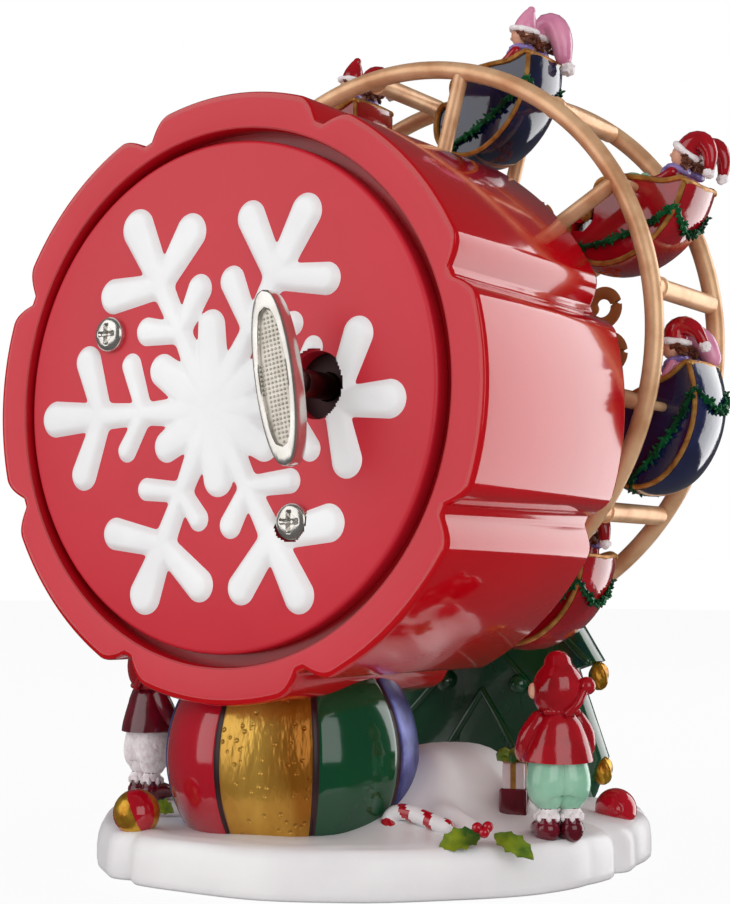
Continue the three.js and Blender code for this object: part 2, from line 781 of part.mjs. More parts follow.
// Spring barrel with its drive gear and the crown that turns the music cylinder, and the mainspring in it
function buildBarrel() {
  const barrel = new THREE.Group();
  barrel.position.set(keyX, 0, keyZ);
  const bore = arborRadius + seatGap;
  const crownFront = barrelBack - (crownReach - barrelRadius) / 2 - runningGap;
  const cup = turnedSolid([
    [bore, barrelFront],
    [barrelRadius, barrelFront],
    [barrelRadius, crownFront - runningGap],
    [crownReach, crownFront + runningGap],
    [crownReach, barrelBack],
    [barrelRadius - barrelWall, barrelBack],
    [barrelRadius - barrelWall, barrelFront + barrelLid],
    [bore, barrelFront + barrelLid],
    [bore, barrelFront],
  ], roundFacets);
  const gear = slabSolid(gearOutline(driveTeeth, gearLine), gearFront, gearBack);
  const gearBore = barSolid([0, gearFront - cutOverrun, 0], [0, gearBack + cutOverrun, 0], bore, roundFacets);
  addPiece(barrel, 'spring_barrel', cup.add(gear.subtract(gearBore)), finishes.brass);

  const outline = [];
  const inner = arborRadius + 2 * seatGap;
  const outer = barrelRadius - barrelWall - seatGap - springStrip;
  const steps = springTurns * springFacets;
  for (let i = 0; i <= steps; i += 1) {
    outline.push(pointAt((360 * i) / springFacets, inner + ((outer - inner) * i) / steps));
  }
  for (let i = steps; i >= 0; i -= 1) {
    outline.push(pointAt((360 * i) / springFacets, inner + springStrip + ((outer - inner) * i) / steps));
  }
  const spring = slabSolid(outline, barrelFront + barrelLid + seatGap, barrelBack - runningGap);
  addPiece(barrel, 'mainspring', spring, finishes.steel);
  figurine.add(barrel);
}

// Music cylinder, whose axis crosses the barrel's, with the cone pinion that the crown turns
const cylinderStart = keyX + crownReach + runningGap + bearingLugThickness + 2 * runningGap;
const cylinderEnd = cylinderStart + cylinderLength;
const lugLow = keyX + crownReach + 2 * runningGap;

function buildCylinder() {
  const axleEnd = cylinderEnd + runningGap + governorWidth / 2;
  const start = cylinderStart + runningGap;
  const cylinder = barSolid([start, 0, 0], [cylinderEnd, 0, 0], cylinderRadius, roundFacets);
  const axle = barSolid([keyX + pinionReach, 0, 0], [axleEnd, 0, 0], cylinderAxleRadius);
  const pinion = barSolid(
    [keyX + pinionReach, 0, 0],
    [keyX + crownReach, 0, 0],
    pinionReach / 2 - 2 * runningGap,
    roundFacets,
    crownReach / 2 - 2 * runningGap,
  );
  const whole = joined([cylinder, axle, pinion]).translate(0, cylinderBack, keyZ);
  addPiece(figurine, 'music_cylinder', whole, finishes.brass);
}

// Cast plate with the cylinder's lug and the comb's ledge
const combTop = keyZ - cylinderRadius - runningGap;
const combFoot = combTop - combToothLength - combHeelLength;
const combBack = cylinderBack;

function roundedPlate() {
  const r = plateCornerRadius;
  const corners = [
    [plateHalfWidth - r, plateHigh - r], [-plateHalfWidth + r, plateHigh - r],
    [-plateHalfWidth + r, plateLow + r], [plateHalfWidth - r, plateLow + r],
  ];
  return corners.flatMap(([x, z], corner) => Array.from({ length: cornerFacets + 1 }, (_, i) => {
    const turn = quarterTurn * (corner + i / cornerFacets);
    return pointAt(turn, r, x, z);
  }));
}

function buildPlate() {
  const plate = slabSolid(roundedPlate(), plateFront, plateBack);
  const lug = boxSolid(
    [lugLow, cylinderBack - bearingLugHalfWidth, keyZ - bearingLugHalfWidth],
    [lugLow + bearingLugThickness, plateBack - plateThickness / 2, keyZ + bearingLugHalfWidth],
  );
  const lugBore = barSolid(
    [lugLow - cutOverrun, cylinderBack, keyZ],
    [lugLow + bearingLugThickness + cutOverrun, cylinderBack, keyZ],
    cylinderAxleRadius + seatGap,
  );
  const ledge = boxSolid(
    [cylinderStart, combBack + combThickness / 2, combFoot],
    [cylinderEnd, plateBack - plateThickness / 2, combFoot + combHeelLength],
  );
  const throughTool = (x, z, radius) => barSolid(
    [x, plateFront - cutOverrun, z], [x, plateBack + cutOverrun, z], radius, smallFacets,
  );
  const holes = [
    ...screwPlaces.map(([x, z]) => throughTool(x, z, screwShankRadius + seatGap)),
    throughTool(keyX, keyZ, arborRadius + seatGap),
    throughTool(0, wheelHeight, axleRadius + seatGap),
  ];
  const casting = joined([plate, lug, ledge]);
  addPiece(figurine, 'movement_plate', cutBy(casting, [lugBore, ...holes]), finishes.steel);
}

// Steel comb of eighteen tuned teeth
function buildComb() {
  const outline = [new THREE.Vector2(cylinderStart, combFoot), new THREE.Vector2(cylinderEnd, combFoot)];
  const pitch = cylinderLength / combTeeth;
  const heelTop = combFoot + combHeelLength;
  for (let tooth = combTeeth - 1; tooth >= 0; tooth -= 1) {
    const left = cylinderStart + tooth * pitch;
    const right = left + pitch * (1 - combSlitShare);
    if (tooth < combTeeth - 1) outline.push(new THREE.Vector2(right, heelTop));
    outline.push(new THREE.Vector2(right, combTop));
    outline.push(new THREE.Vector2(left, combTop));
    if (tooth > 0) outline.push(new THREE.Vector2(left, heelTop));
  }
  outline[1].x = cylinderStart + (combTeeth - combSlitShare) * pitch;
  const comb = slabSolid(outline, combBack - combThickness / 2, combBack + combThickness / 2);
  addPiece(figurine, 'tone_comb', comb, finishes.steel);
}

// Governor block at the end of the cylinder, and the air fan that holds the speed down
function buildGovernor() {
  const left = cylinderEnd + runningGap;
  const right = left + governorWidth;
  const front = plateFront - governorDepth;
  const foot = keyZ - governorHalfHeight;
  const top = keyZ + governorHalfHeight;
  const block = boxSolid([left, front, foot], [right, plateFront, top]);
  const bore = barSolid(
    [left - cutOverrun, cylinderBack, keyZ],
    [left + governorWidth / 2 + runningGap, cylinderBack, keyZ],
    cylinderAxleRadius + seatGap,
  );
  const fanX = (left + right) / 2;
  const fanY = cylinderBack;
  const fanSeat = top - fanHeight / 2;
  const fanBore = barSolid([fanX, fanY, fanSeat], [fanX, fanY, top + cutOverrun], fanShaftRadius + seatGap);
  addPiece(figurine, 'governor_block', cutBy(block, [bore, fanBore]), finishes.brass);

  const fan = new THREE.Group();
  fan.position.set(fanX, fanY, 0);
  const half = fanBladeThickness / 2;
  const bladeFoot = top + runningGap;
  const bladeTop = bladeFoot + fanHeight;
  const blades = boxSolid([-fanRadius, -half, bladeFoot], [fanRadius, half, bladeTop]);
  const shaft = barSolid([0, 0, fanSeat + seatGap], [0, 0, bladeTop], fanShaftRadius, tinyFacets);
  addPiece(fan, 'governor_fan', blades.add(shaft), finishes.steel);
  figurine.add(fan);
}

// Wheel, in its own frame with the axis at the origin
const wheel = new THREE.Group();
wheel.position.set(0, 0, wheelHeight);

function wheelPoint(angle, radius, y) {
  return [-radius * Math.cos(radians(angle)), y, radius * Math.sin(radians(angle))];
}

// A ring of round tube, which may carry a thinner bead along its front
function ringSolid(y, bead) {
  const profile = circleOutline(ringRadius, y, tubeRadius, tubeFacets).map((point) => [point.x, point.y]);
  if (bead > 0) {
    const beadFront = y - tubeRadius - bead;
    const front = [[ringRadius - bead, beadFront], [ringRadius + bead, beadFront]];
    const waist = y - tubeRadius;
    const kept = profile.filter(([, back]) => back > waist + seatGap);
    const start = kept.findIndex(([radius, back]) => radius > ringRadius && back >= y - weldDistance);
    const around = [...kept.slice(start), ...kept.slice(0, start)];
    const whole = [...around, [ringRadius - bead, waist], ...front, [ringRadius + bead, waist]];
    return turnedSolid([...whole, whole[0]], ringFacets);
  }
  return turnedSolid([...profile, profile[0]], ringFacets);
}

function hubSolid(y) {
  const front = y - hubHalfLength;
  const back = y + hubHalfLength;
  const bore = axleRadius + seatGap;
  return turnedSolid([[bore, front], [hubRadius, front], [hubRadius, back], [bore, back], [bore, front]]);
}

function spokeSolids(y) {
  return Array.from({ length: sleighCount }, (_, i) => {
    const angle = spokeAngle + (360 * i) / sleighCount;
    const inner = (axleRadius + hubRadius) / 2;
    return barSolid(wheelPoint(angle, inner, y), wheelPoint(angle, ringRadius, y), spokeRadius, tinyFacets);
  });
}

// A pair of C-scrolls with ball ends, back to back, flat in the plane of the front spokes
function scrollSolids(y, angle) {
  const front = y - scrollThickness / 2;
  const back = y + scrollThickness / 2;
  const middle = scrollLobeRadius - scrollStripWidth / 2;
  const halfStrip = scrollStripWidth / 2;
  const pieces = [];
  [-1, 1].forEach((side) => {
    const centreX = scrollCentreRadius;
    const centreZ = side * scrollLobeShift;
    const path = [];
    for (let i = 0; i <= scrollFacets; i += 1) {
      const turn = side * ((scrollSweep * i) / scrollFacets) - side * 90;
      const shrink = 1 - (i / scrollFacets) * scrollTaperShare;
      path.push([turn, middle * shrink]);
    }
    const outer = path.map(([turn, radius]) => pointAt(turn, radius + halfStrip, centreX, centreZ));
    const inner = path.map(([turn, radius]) => pointAt(turn, radius - halfStrip, centreX, centreZ)).reverse();
    pieces.push([...outer, ...inner]);
    const last = path[path.length - 1];
    const end = pointAt(last[0], last[1], centreX, centreZ);
    pieces.push(circleOutline(end.x, end.y, scrollStripWidth * scrollBallShare, tubeFacets));
    const tail = new THREE.Vector2(centreX, side * (scrollLobeShift - middle));
    const spokeTurn = side * (180 / sleighCount);
    const seat = pointAt(spokeTurn, scrollSpanRadius);
    pieces.push(slotOutline(seat, tail, halfStrip, halfStrip, tubeFacets / 2));
  });
  return flatSolid(pieces, front, back).rotate([0, -(180 - angle), 0]);
}

function buildWheel() {
  const crossbars = Array.from({ length: sleighCount }, (_, i) => {
    const angle = crossbarAngle + (360 * i) / sleighCount;
    return barSolid(
      wheelPoint(angle, ringRadius, rearRingBack),
      wheelPoint(angle, ringRadius, frontRingBack + tubeRadius + seatGap),
      crossbarRadius,
      tinyFacets,
    );
  });
  const hubTool = (y) => {
    const reach = hubHalfLength + cutOverrun;
    return barSolid([0, y - reach, 0], [0, y + reach, 0], axleRadius + seatGap);
  };
  const rear = joined([ringSolid(rearRingBack, 0), ...crossbars, ...spokeSolids(rearRingBack)]);
  const rearTools = [hubTool(rearRingBack), ...pinTools(rearRingBack)];
  const rearSolid = cutBy(rear.add(hubSolid(rearRingBack)), rearTools);
  addPiece(wheel, 'rear_wheel_frame', rearSolid, finishes.gold);

  const scrolls = Array.from({ length: sleighCount }, (_, i) => {
    const angle = spokeAngle + (360 * (i + 1 / 2)) / sleighCount;
    return scrollSolids(frontRingBack, angle);
  });
  const front = joined([ringSolid(frontRingBack, beadRadius), ...spokeSolids(frontRingBack), ...scrolls]);
  const frontTools = [hubTool(frontRingBack), ...pinTools(frontRingBack)];
  const frontSolid = cutBy(front.add(hubSolid(frontRingBack)), frontTools);
  addPiece(wheel, 'front_wheel_frame', frontSolid, finishes.gold);
}

// Holes for the pivot pins at the outer ends of the spokes
function pinTools(y) {
  return Array.from({ length: sleighCount }, (_, i) => {
    const angle = spokeAngle + (360 * i) / sleighCount;
    const inwards = y > (rearRingBack + frontRingBack) / 2 ? -1 : 1;
    const start = wheelPoint(angle, ringRadius, y);
    const end = wheelPoint(angle, ringRadius, y + inwards * (2 * tubeRadius));
    return barSolid(start, end, pinRadius + seatGap, tinyFacets);
  });
}

// Output gear and axle, which turn with the wheel
function buildOutput() {
  const bore = axleRadius + seatGap;
  const gear = slabSolid(gearOutline(outputTeeth, gearLine + 180 + 180 / outputTeeth), gearFront, gearBack);
  const boss = barSolid([0, gearFront - gearWidth, 0], [0, gearBack + gearWidth, 0], hubRadius, roundFacets);
  const hole = barSolid([0, gearFront - 2 * gearWidth, 0], [0, gearBack + 2 * gearWidth, 0], bore);
  addPiece(wheel, 'output_gear', gear.add(boss).subtract(hole), finishes.brass);
  addPiece(
    wheel,
    'wheel_axle',
    barSolid([0, axleFront, 0], [0, plateBack - seatGap, 0], axleRadius, smallFacets),
    finishes.steel,
  );
}

// One sleigh with its riders, which stays level while the wheel turns
function outlinePoints(shares) {
  return shares.map(([x, z]) => new THREE.Vector2(x * sleighLength, z * sleighHeight));
}

function sleighSolid(pinTool) {
  const half = sleighWidth / 2;
  const body = slabSolid(outlinePoints(sleighOutlineShares), -half, half);
  const cavity = slabSolid(outlinePoints(cavityOutlineShares), -half + sleighWall, half - sleighWall);
  return cutBy(body, [cavity, pinTool(seatGap)]);
}

function riderSolid(pinTool) {
  const half = sleighWidth / 2 - sleighWall - seatGap;
  const parts = [slabSolid(outlinePoints(blanketOutlineShares), -half, half)];
  hatTipShares.forEach((tip, i) => {
    const side = i === 0 ? riderSpacing : -riderSpacing;
    riderFormShares.forEach(([x, z, ...halfShares]) => {
      const centre = [x * riderHeight, side, z * riderHeight];
      const halfSizes = halfShares.map((share) => share * riderHeight);
      parts.push(ellipsoidSolid(centre, halfSizes, riderFacets));
    });
    const from = [hatFootShares[0] * riderHeight, side, hatFootShares[1] * riderHeight];
    const to = [tip[0] * riderHeight, side, tip[1] * riderHeight];
    parts.push(barSolid(from, to, hatBaseShare * riderHeight, riderFacets, (pomShare * riderHeight) / 2));
    parts.push(ballSolid(to, pomShare * riderHeight, riderFacets));
  });
  return largestPart(joined(parts).subtract(pinTool(2 * seatGap)));
}

function buildSleighs() {
  const middle = (rearRingBack + frontRingBack) / 2;
  for (let i = 0; i < sleighCount; i += 1) {
    const angle = spokeAngle + (360 * i) / sleighCount;
    const pinBack = wheelPoint(angle, ringRadius, rearRingBack - seatGap);
    const pinFront = wheelPoint(angle, ringRadius, frontRingBack + seatGap);
    const pin = barSolid(pinFront, pinBack, pinRadius, tinyFacets);
    addPiece(wheel, `pivot_pin_${i + 1}`, pin, finishes.steel);
    const [pinX, pinZ] = sleighPinPlaces[i];
    const pinTool = (grow) => {
      return barSolid([pinX, -sleighWidth, pinZ], [pinX, sleighWidth, pinZ], pinRadius + grow, tinyFacets);
    };
    const hung = (solid) => solid.translate(-pinX, 0, -pinZ);
    const gondola = new THREE.Group();
    gondola.position.set(...wheelPoint(angle, ringRadius, middle));
    gondola.rotation.y = radians(sleighTilts[i]);
    const paint = i % 2 === 0 ? finishes.redGloss : finishes.navy;
    addPiece(gondola, `sleigh_${i + 1}`, hung(sleighSolid(pinTool)), paint);
    addPiece(gondola, `riders_${i + 1}`, hung(riderSolid(pinTool)), finishes.cloth);
    wheel.add(gondola);
  }
}

// Tree-shaped stand with chevron ridges and baubles
const treeHeight = treeTop - treeFoot;
const treeFront = treeBack - treeThickness;
const treeMiddle = (treeFront + treeBack) / 2;

function treePoint([widthShare, heightShare], side, y) {
  return [side * widthShare * treeHalfWidth, y, treeFoot + heightShare * treeHeight];
}

function buildTree() {
  const right = treeOutlineShares.map((share) => treePoint(share, 1, 0));
  const left = treeOutlineShares.slice(0, -1).reverse().map((share) => treePoint(share, -1, 0));
  const outline = [...right, ...left].map(([x, , z]) => new THREE.Vector2(x, z));
  const parts = [slabSolid(outline, treeFront, treeBack)];
  ridgeTopShares.forEach((share) => {
    [-1, 1].forEach((side) => {
      const reach = ridgeReachShare * treeHalfWidth * (1 - share);
      const top = treeFoot + share * treeHeight;
      const low = top - reach * Math.tan(radians(ridgeSlope));
      parts.push(barSolid([0, treeBack, top], [side * reach, treeBack, low], ridgeRadius, tinyFacets));
    });
  });
  const boss = barSolid([0, treeMiddle, wheelHeight], [0, treeBack, wheelHeight], treeHubRadius, roundFacets);
  parts.push(boss);
  [-1, 1].forEach((side) => {
    parts.push(ballSolid(treePoint(greenBaublePlaceShares, side, treeBack), greenBaubleRadius, tinyFacets));
  });
  const bore = barSolid(
    [0, treeBack - treeHubDepth, wheelHeight], [0, treeBack + cutOverrun, wheelHeight], axleRadius + seatGap,
  );
  const halfSizes = (grow) => {
    const radius = baubleRadius + grow;
    return [radius, radius, baubleRadius * baubleStretchShare + grow];
  };
  const pockets = [];
  baublePlaceShares.forEach((share, row) => {
    [-1, 1].forEach((side) => {
      const place = treePoint(share, side, treeMiddle);
      pockets.push(ellipsoidSolid(place, halfSizes(seatGap), smallFacets));
      const name = `gold_bauble_${row === 0 ? 'upper' : 'lower'}_${side < 0 ? 'right' : 'left'}`;
      addPiece(figurine, name, ellipsoidSolid(place, halfSizes(0), smallFacets), finishes.brightGold);
    });
  });
  addPiece(figurine, 'tree_stand', cutBy(joined(parts), [bore, ...pockets]), finishes.green);
  const footReach = treeOutlineShares[2][0] * treeHalfWidth + seatGap;
  return boxSolid(
    [-footReach, treeFront - seatGap, treeFoot],
    [footReach, treeBack + seatGap, snowHeight + moundHeight],
  );
}

// One elf, and the pocket in the snow that its boots stand in
function elfSolid() {
  const parts = [];
  elfRoundShares.forEach(([lowShare, lowRadius, highShare, highRadius, stretch]) => {
    const low = lowShare * elfHeight;
    const high = highShare * elfHeight;
    const [highHalf, lowHalf] = [highRadius * elfHeight, lowRadius * elfHeight];
    const geometry = new THREE.CylinderGeometry(highHalf, lowHalf, high - low, elfFacets);
    parts.push(solidOf(geometry.rotateX(Math.PI / 2).scale(1, stretch, 1).translate(0, 0, (low + high) / 2)));
  });
  elfBallShares.forEach(([x, y, z, halfX, halfY, halfZ]) => {
    const centre = [x, y, z].map((share) => share * elfHeight);
    parts.push(ellipsoidSolid(centre, [halfX, halfY, halfZ].map((share) => share * elfHeight), tinyFacets));
  });
  elfLimbShares.forEach(([x0, y0, z0, x1, y1, z1, radius]) => {
    const from = [x0, y0, z0].map((share) => share * elfHeight);
    const to = [x1, y1, z1].map((share) => share * elfHeight);
    parts.push(barSolid(from, to, radius * elfHeight, tubeFacets));
  });
  return joined(parts);
}

function buildElves() {
  const floor = snowHeight - footprintDepth;
  const elf = elfSolid();
  const rightElf = elf.rotate([0, 0, elfTurn]).translate(-elfX, elfY, floor);
  addPiece(figurine, 'right_elf', rightElf, finishes.redGloss);
  addPiece(figurine, 'left_elf', rightElf.mirror([1, 0, 0]), finishes.redGloss);
  return [-1, 1].map((side) => padTool(side * elfX, elfY, elfPadRadius, floor));
}

// Two stacked gift boxes with a bow
function buildGifts() {
  const half = giftSize / 2;
  const smallHalf = smallGiftSize / 2;
  const middle = giftFoot + giftTall;
  const top = middle + smallGiftTall;
  const parts = [
    boxSolid([-half, -half, giftFoot], [half, half, middle]),
    boxSolid([-smallHalf, -smallHalf, giftFoot], [smallHalf, smallHalf, top]),
  ];
  [-1, 1].forEach((side) => {
    const centre = [side * bowLength, 0, top + bowHalfHeight / 2];
    parts.push(ellipsoidSolid(centre, [bowLength, bowLength * bowDepthShare, bowHalfHeight], tinyFacets));
  });
  const stack = joined(parts).rotate([0, 0, elfTurn]).translate(giftX, giftY, 0);
  addPiece(figurine, 'gift_stack', stack, finishes.burgundy);
  return padTool(giftX, giftY, half * Math.SQRT2 + seatGap, giftFoot);
}

// A place on the snow from its shares of the base's radius
function placeOnBase(shares) {
  return shares.map((share) => share * baseRadius);
}

// Small balls, half sunk in the snow
function buildSmallBalls() {
  const ball = (shares, lift, radius) => {
    const [x, y] = placeOnBase(shares);
    return ballSolid([x, y, snowHeight + lift], radius, smallBallFacets);
  };
  addPiece(figurine, 'red_ornament', ball(redBallShares, redBallLift, redBallRadius), finishes.redGloss);
  const striped = ball(stripedBallShares, stripedBallLift, stripedBallRadius);
  addPiece(figurine, 'striped_ornament', striped, finishes.redGloss);
  return [
    ball(redBallShares, redBallLift, redBallRadius + seatGap),
    ball(stripedBallShares, stripedBallLift, stripedBallRadius + seatGap),
  ];
}

// Candy cane lying on the snow
function caneSolid(radius) {
  const height = snowHeight + caneLift;
  const curve = new THREE.CatmullRomCurve3(caneShares.map((shares) => {
    const [x, y] = placeOnBase(shares);
    return new THREE.Vector3(x, y, height);
  }));
  const section = new THREE.Shape(circleOutline(0, 0, radius, tubeFacets));
  const options = { steps: roundFacets, extrudePath: curve, bevelEnabled: false };
  return solidOf(new THREE.ExtrudeGeometry(section, options));
}

// Holly: two leaves and two berries on a slab that lies in the snow
function hollySolid(grow) {
  const parts = [];
  leafTurns.forEach((turn) => {
    const tip = pointAt(turn, leafLength);
    const root = pointAt(turn, leafHalfWidth / 2);
    const rootHalf = leafHalfWidth + grow;
    const tipHalf = leafHalfWidth * leafTipShare + grow;
    const outline = slotOutline(root, tip, rootHalf, tipHalf, tubeFacets / 2);
    const slab = new THREE.ExtrudeGeometry(new THREE.Shape(outline), {
      depth: leafThickness + 2 * grow,
      bevelEnabled: false,
    });
    parts.push(solidOf(slab.translate(0, 0, -leafThickness / 2 - grow)));
  });
  [-1, 1].forEach((side) => {
    const centre = [side * berryRadius * berryPlaceShare, berryRadius, leafThickness / 2];
    parts.push(ballSolid(centre, berryRadius + grow, tinyFacets));
  });
  return joined(parts);
}

function buildSnowTrim() {
  addPiece(figurine, 'candy_cane', caneSolid(caneRadius), finishes.white);
  const height = snowHeight + hollyLift;
  const place = (grow, shares, turn) => {
    const [x, y] = placeOnBase(shares);
    return hollySolid(grow).rotate([0, 0, turn]).translate(x, y, height);
  };
  addPiece(figurine, 'holly_right', place(0, hollyRightShares, hollyRightTurn), finishes.green);
  addPiece(figurine, 'holly_left', place(0, hollyLeftShares, hollyLeftTurn), finishes.green);
  return [
    caneSolid(caneRadius + seatGap),
    place(seatGap, hollyRightShares, hollyRightTurn),
    place(seatGap, hollyLeftShares, hollyLeftTurn),
  ];
}

// Assembly
const pockets = [
  buildBall(),
  buildTree(),
  ...buildElves(),
  buildGifts(),
  ...buildSmallBalls(),
  ...buildSnowTrim(),
];
addPiece(figurine, 'snow_base', largestPart(cutBy(snowSolid(), pockets)), finishes.snow);
buildHousing();
buildBush();
buildCover();
buildCoverScrews();
buildPlate();
buildComb();
buildCylinder();
buildGovernor();
buildBarrel();
buildKey();
buildWheel();
buildOutput();
buildSleighs();
figurine.add(wheel);

export default figurine;
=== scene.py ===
# %% [markdown]
# A musical ferris wheel figurine, dressed in Blender.
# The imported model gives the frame: every piece made here takes its place from a node of it, rides on one of
# its bodies, and stands for the plain solid there. Helpers work in millimetres and the finished mesh is scaled.

# %% Load the frame
import bmesh
import bpy
import json
import math
import random
from mathutils import Matrix, Vector, noise

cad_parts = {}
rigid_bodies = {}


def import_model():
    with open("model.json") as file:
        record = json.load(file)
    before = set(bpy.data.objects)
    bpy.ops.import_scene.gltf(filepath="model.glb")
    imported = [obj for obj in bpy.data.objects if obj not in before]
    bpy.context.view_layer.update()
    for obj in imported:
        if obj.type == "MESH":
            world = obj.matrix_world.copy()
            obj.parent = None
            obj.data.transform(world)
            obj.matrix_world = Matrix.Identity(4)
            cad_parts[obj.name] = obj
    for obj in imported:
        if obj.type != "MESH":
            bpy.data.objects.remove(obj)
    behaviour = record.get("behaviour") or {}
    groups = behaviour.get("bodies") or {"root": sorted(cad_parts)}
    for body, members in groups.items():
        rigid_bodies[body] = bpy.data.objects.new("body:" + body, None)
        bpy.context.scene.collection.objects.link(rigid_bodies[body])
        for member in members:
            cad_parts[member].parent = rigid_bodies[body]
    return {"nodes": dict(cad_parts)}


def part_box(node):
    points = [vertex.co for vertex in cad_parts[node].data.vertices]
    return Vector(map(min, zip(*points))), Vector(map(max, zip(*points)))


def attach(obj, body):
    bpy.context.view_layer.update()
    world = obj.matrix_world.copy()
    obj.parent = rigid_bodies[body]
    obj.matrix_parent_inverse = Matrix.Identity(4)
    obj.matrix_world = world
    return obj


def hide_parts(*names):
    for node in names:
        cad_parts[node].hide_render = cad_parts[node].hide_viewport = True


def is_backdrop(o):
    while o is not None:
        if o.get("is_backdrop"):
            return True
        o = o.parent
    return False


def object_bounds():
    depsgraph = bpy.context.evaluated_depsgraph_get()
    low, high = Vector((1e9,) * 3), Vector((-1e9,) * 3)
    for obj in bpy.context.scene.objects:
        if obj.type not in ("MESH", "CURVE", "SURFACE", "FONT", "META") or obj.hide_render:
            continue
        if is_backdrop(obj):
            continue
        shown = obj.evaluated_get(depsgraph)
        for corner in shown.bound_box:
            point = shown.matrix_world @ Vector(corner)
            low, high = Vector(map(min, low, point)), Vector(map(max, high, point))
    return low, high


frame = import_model()
cad_low, cad_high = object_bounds()
MM = 0.001
print("CAD box in mm", [round(v / MM, 1) for v in (cad_high - cad_low)])


def measure(node):
    """Lowest corner, highest corner, middle and size of a CAD node, in millimetres."""
    low, high = (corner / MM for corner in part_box(node))
    return low, high, (low + high) / 2, high - low


# %% [markdown]
# Before any shape, a few tools. A piece of cast resin is mostly round bars that swell and bend: arms, caps, boots,
# garlands, rings. So one helper draws a bar through a few points by extruding a circle again and again, and the
# rest are balls, turned shapes and flat plates. Each helper returns the faces it made, so that they can be painted.

# %% Helpers for shapes
def paint(bm, old_faces, tone):
    """New faces get a material by its place in the piece's list."""
    fresh = [face for face in bm.faces if face not in old_faces]
    for face in fresh:
        face.material_index = tone
    return fresh


def smooth_path(points, steps):
    """A soft curve through the points, with its rows of numbers blended alike."""
    rows = [tuple(row) for row in points]
    found = []
    for i in range(len(rows) - 1):
        before, start, end, after = rows[max(i - 1, 0)], rows[i], rows[i + 1], rows[min(i + 2, len(rows) - 1)]
        for step in range(steps):
            t = step / steps
            found.append(tuple(
                0.5 * (2 * b + (c - a) * t + (2 * a - 5 * b + 4 * c - d) * t * t + (3 * b - a - 3 * c + d) * t ** 3)
                for a, b, c, d in zip(before, start, end, after)))
    found.append(rows[-1])
    return found


def ring_place(centre, along, side, wide, thick, twist=0.0):
    """Matrix that puts a flat unit ring at centre, facing along, wide towards side."""
    z = along.normalized()
    x = (side - z * side.dot(z)).normalized()
    y = z.cross(x)
    turn = Matrix((x, y, z)).transposed().to_4x4()
    size = Matrix.Diagonal((wide, thick, 1, 1))
    return Matrix.Translation(centre) @ turn @ size @ Matrix.Rotation(twist, 4, "Z")


def bar(bm, points, tone=0, sides=14, steps=4, side=(1, 0, 0), round_ends=True, closed=False, square=False):
    """A bar through rows of x, y, z, half width and half thickness, made by extruding a ring from row to row."""
    old = set(bm.faces)
    rows = [row if len(row) == 5 else (*row, row[3]) for row in points]
    if closed:
        rows = rows + [rows[0]]
    rows = smooth_path(rows, steps) if steps > 1 else rows
    if round_ends and not closed:
        rows = cap_rows(rows, True) + rows[1:-1] + cap_rows(rows, False)
    if closed:
        rows = rows[:-1]
    side = Vector(side)
    sides, twist = (4, math.pi / 4) if square else (sides, 0.0)
    grow = math.sqrt(2) if square else 1.0
    places = []
    for i, row in enumerate(rows):
        here = Vector(row[:3])
        ahead = Vector(rows[(i + 1) % len(rows)][:3] if closed or i + 1 < len(rows) else row[:3])
        behind = Vector(rows[i - 1][:3] if closed or i > 0 else row[:3])
        along = ahead - behind
        places.append(ring_place(here, along, side, max(row[3], 0.01) * grow, max(row[4], 0.01) * grow, twist))
    made = bmesh.ops.create_circle(bm, cap_ends=False, segments=sides, radius=1.0, matrix=places[0])
    ring = list({edge for vert in made["verts"] for edge in vert.link_edges})
    first, last = ring, ring
    for before, after in zip(places, places[1:]):
        grown = bmesh.ops.extrude_edge_only(bm, edges=last)["geom"]
        verts = [item for item in grown if isinstance(item, bmesh.types.BMVert)]
        last = [item for item in grown if isinstance(item, bmesh.types.BMEdge) and
                all(vert in verts for vert in item.verts)]
        bmesh.ops.transform(bm, matrix=after @ before.inverted(), verts=verts)
    if closed:
        bmesh.ops.bridge_loops(bm, edges=first + last)
    else:
        bmesh.ops.contextual_create(bm, geom=first)
        bmesh.ops.contextual_create(bm, geom=last)
    return paint(bm, old, tone)


def cap_rows(rows, at_start):
    """Extra rows that close an end of a bar like a ball."""
    end, inner = (rows[0], rows[1]) if at_start else (rows[-1], rows[-2])
    centre = Vector(end[:3])
    out = (centre - Vector(inner[:3])).normalized()
    reach = min(end[3], end[4])
    caps = []
    for angle in (0, 25, 48, 68, 84):
        c, s = math.cos(math.radians(angle)), math.sin(math.radians(angle))
        caps.append((*(centre + out * reach * s), end[3] * c, end[4] * c))
    return caps[::-1] if at_start else caps


def ball(bm, centre, radii, tone=0, detail=3, turn=None):
    """An icosphere stretched to three radii."""
    old = set(bm.faces)
    radii = radii if isinstance(radii, (tuple, list)) else (radii,) * 3
    place = Matrix.Translation(centre) @ (turn or Matrix.Identity(4)) @ Matrix.Diagonal((*radii, 1))
    bmesh.ops.create_icosphere(bm, subdivisions=detail, radius=1.0, matrix=place)
    return paint(bm, old, tone)


def turned(bm, profile, centre, axis=(0, 1, 0), tone=0, steps=64):
    """A profile of radius and height pairs spun round an axis through centre."""
    old = set(bm.faces)
    axis = Vector(axis).normalized()
    out = axis.orthogonal().normalized()
    verts = [bm.verts.new(Vector(centre) + out * max(radius, 0) + axis * height) for radius, height in profile]
    edges = [bm.edges.new(pair) for pair in zip(verts, verts[1:])]
    bmesh.ops.spin(bm, geom=verts + edges, cent=centre, axis=axis, angle=math.tau, steps=steps, use_merge=True)
    bmesh.ops.remove_doubles(bm, verts=bm.verts, dist=1e-4)
    return paint(bm, old, tone)


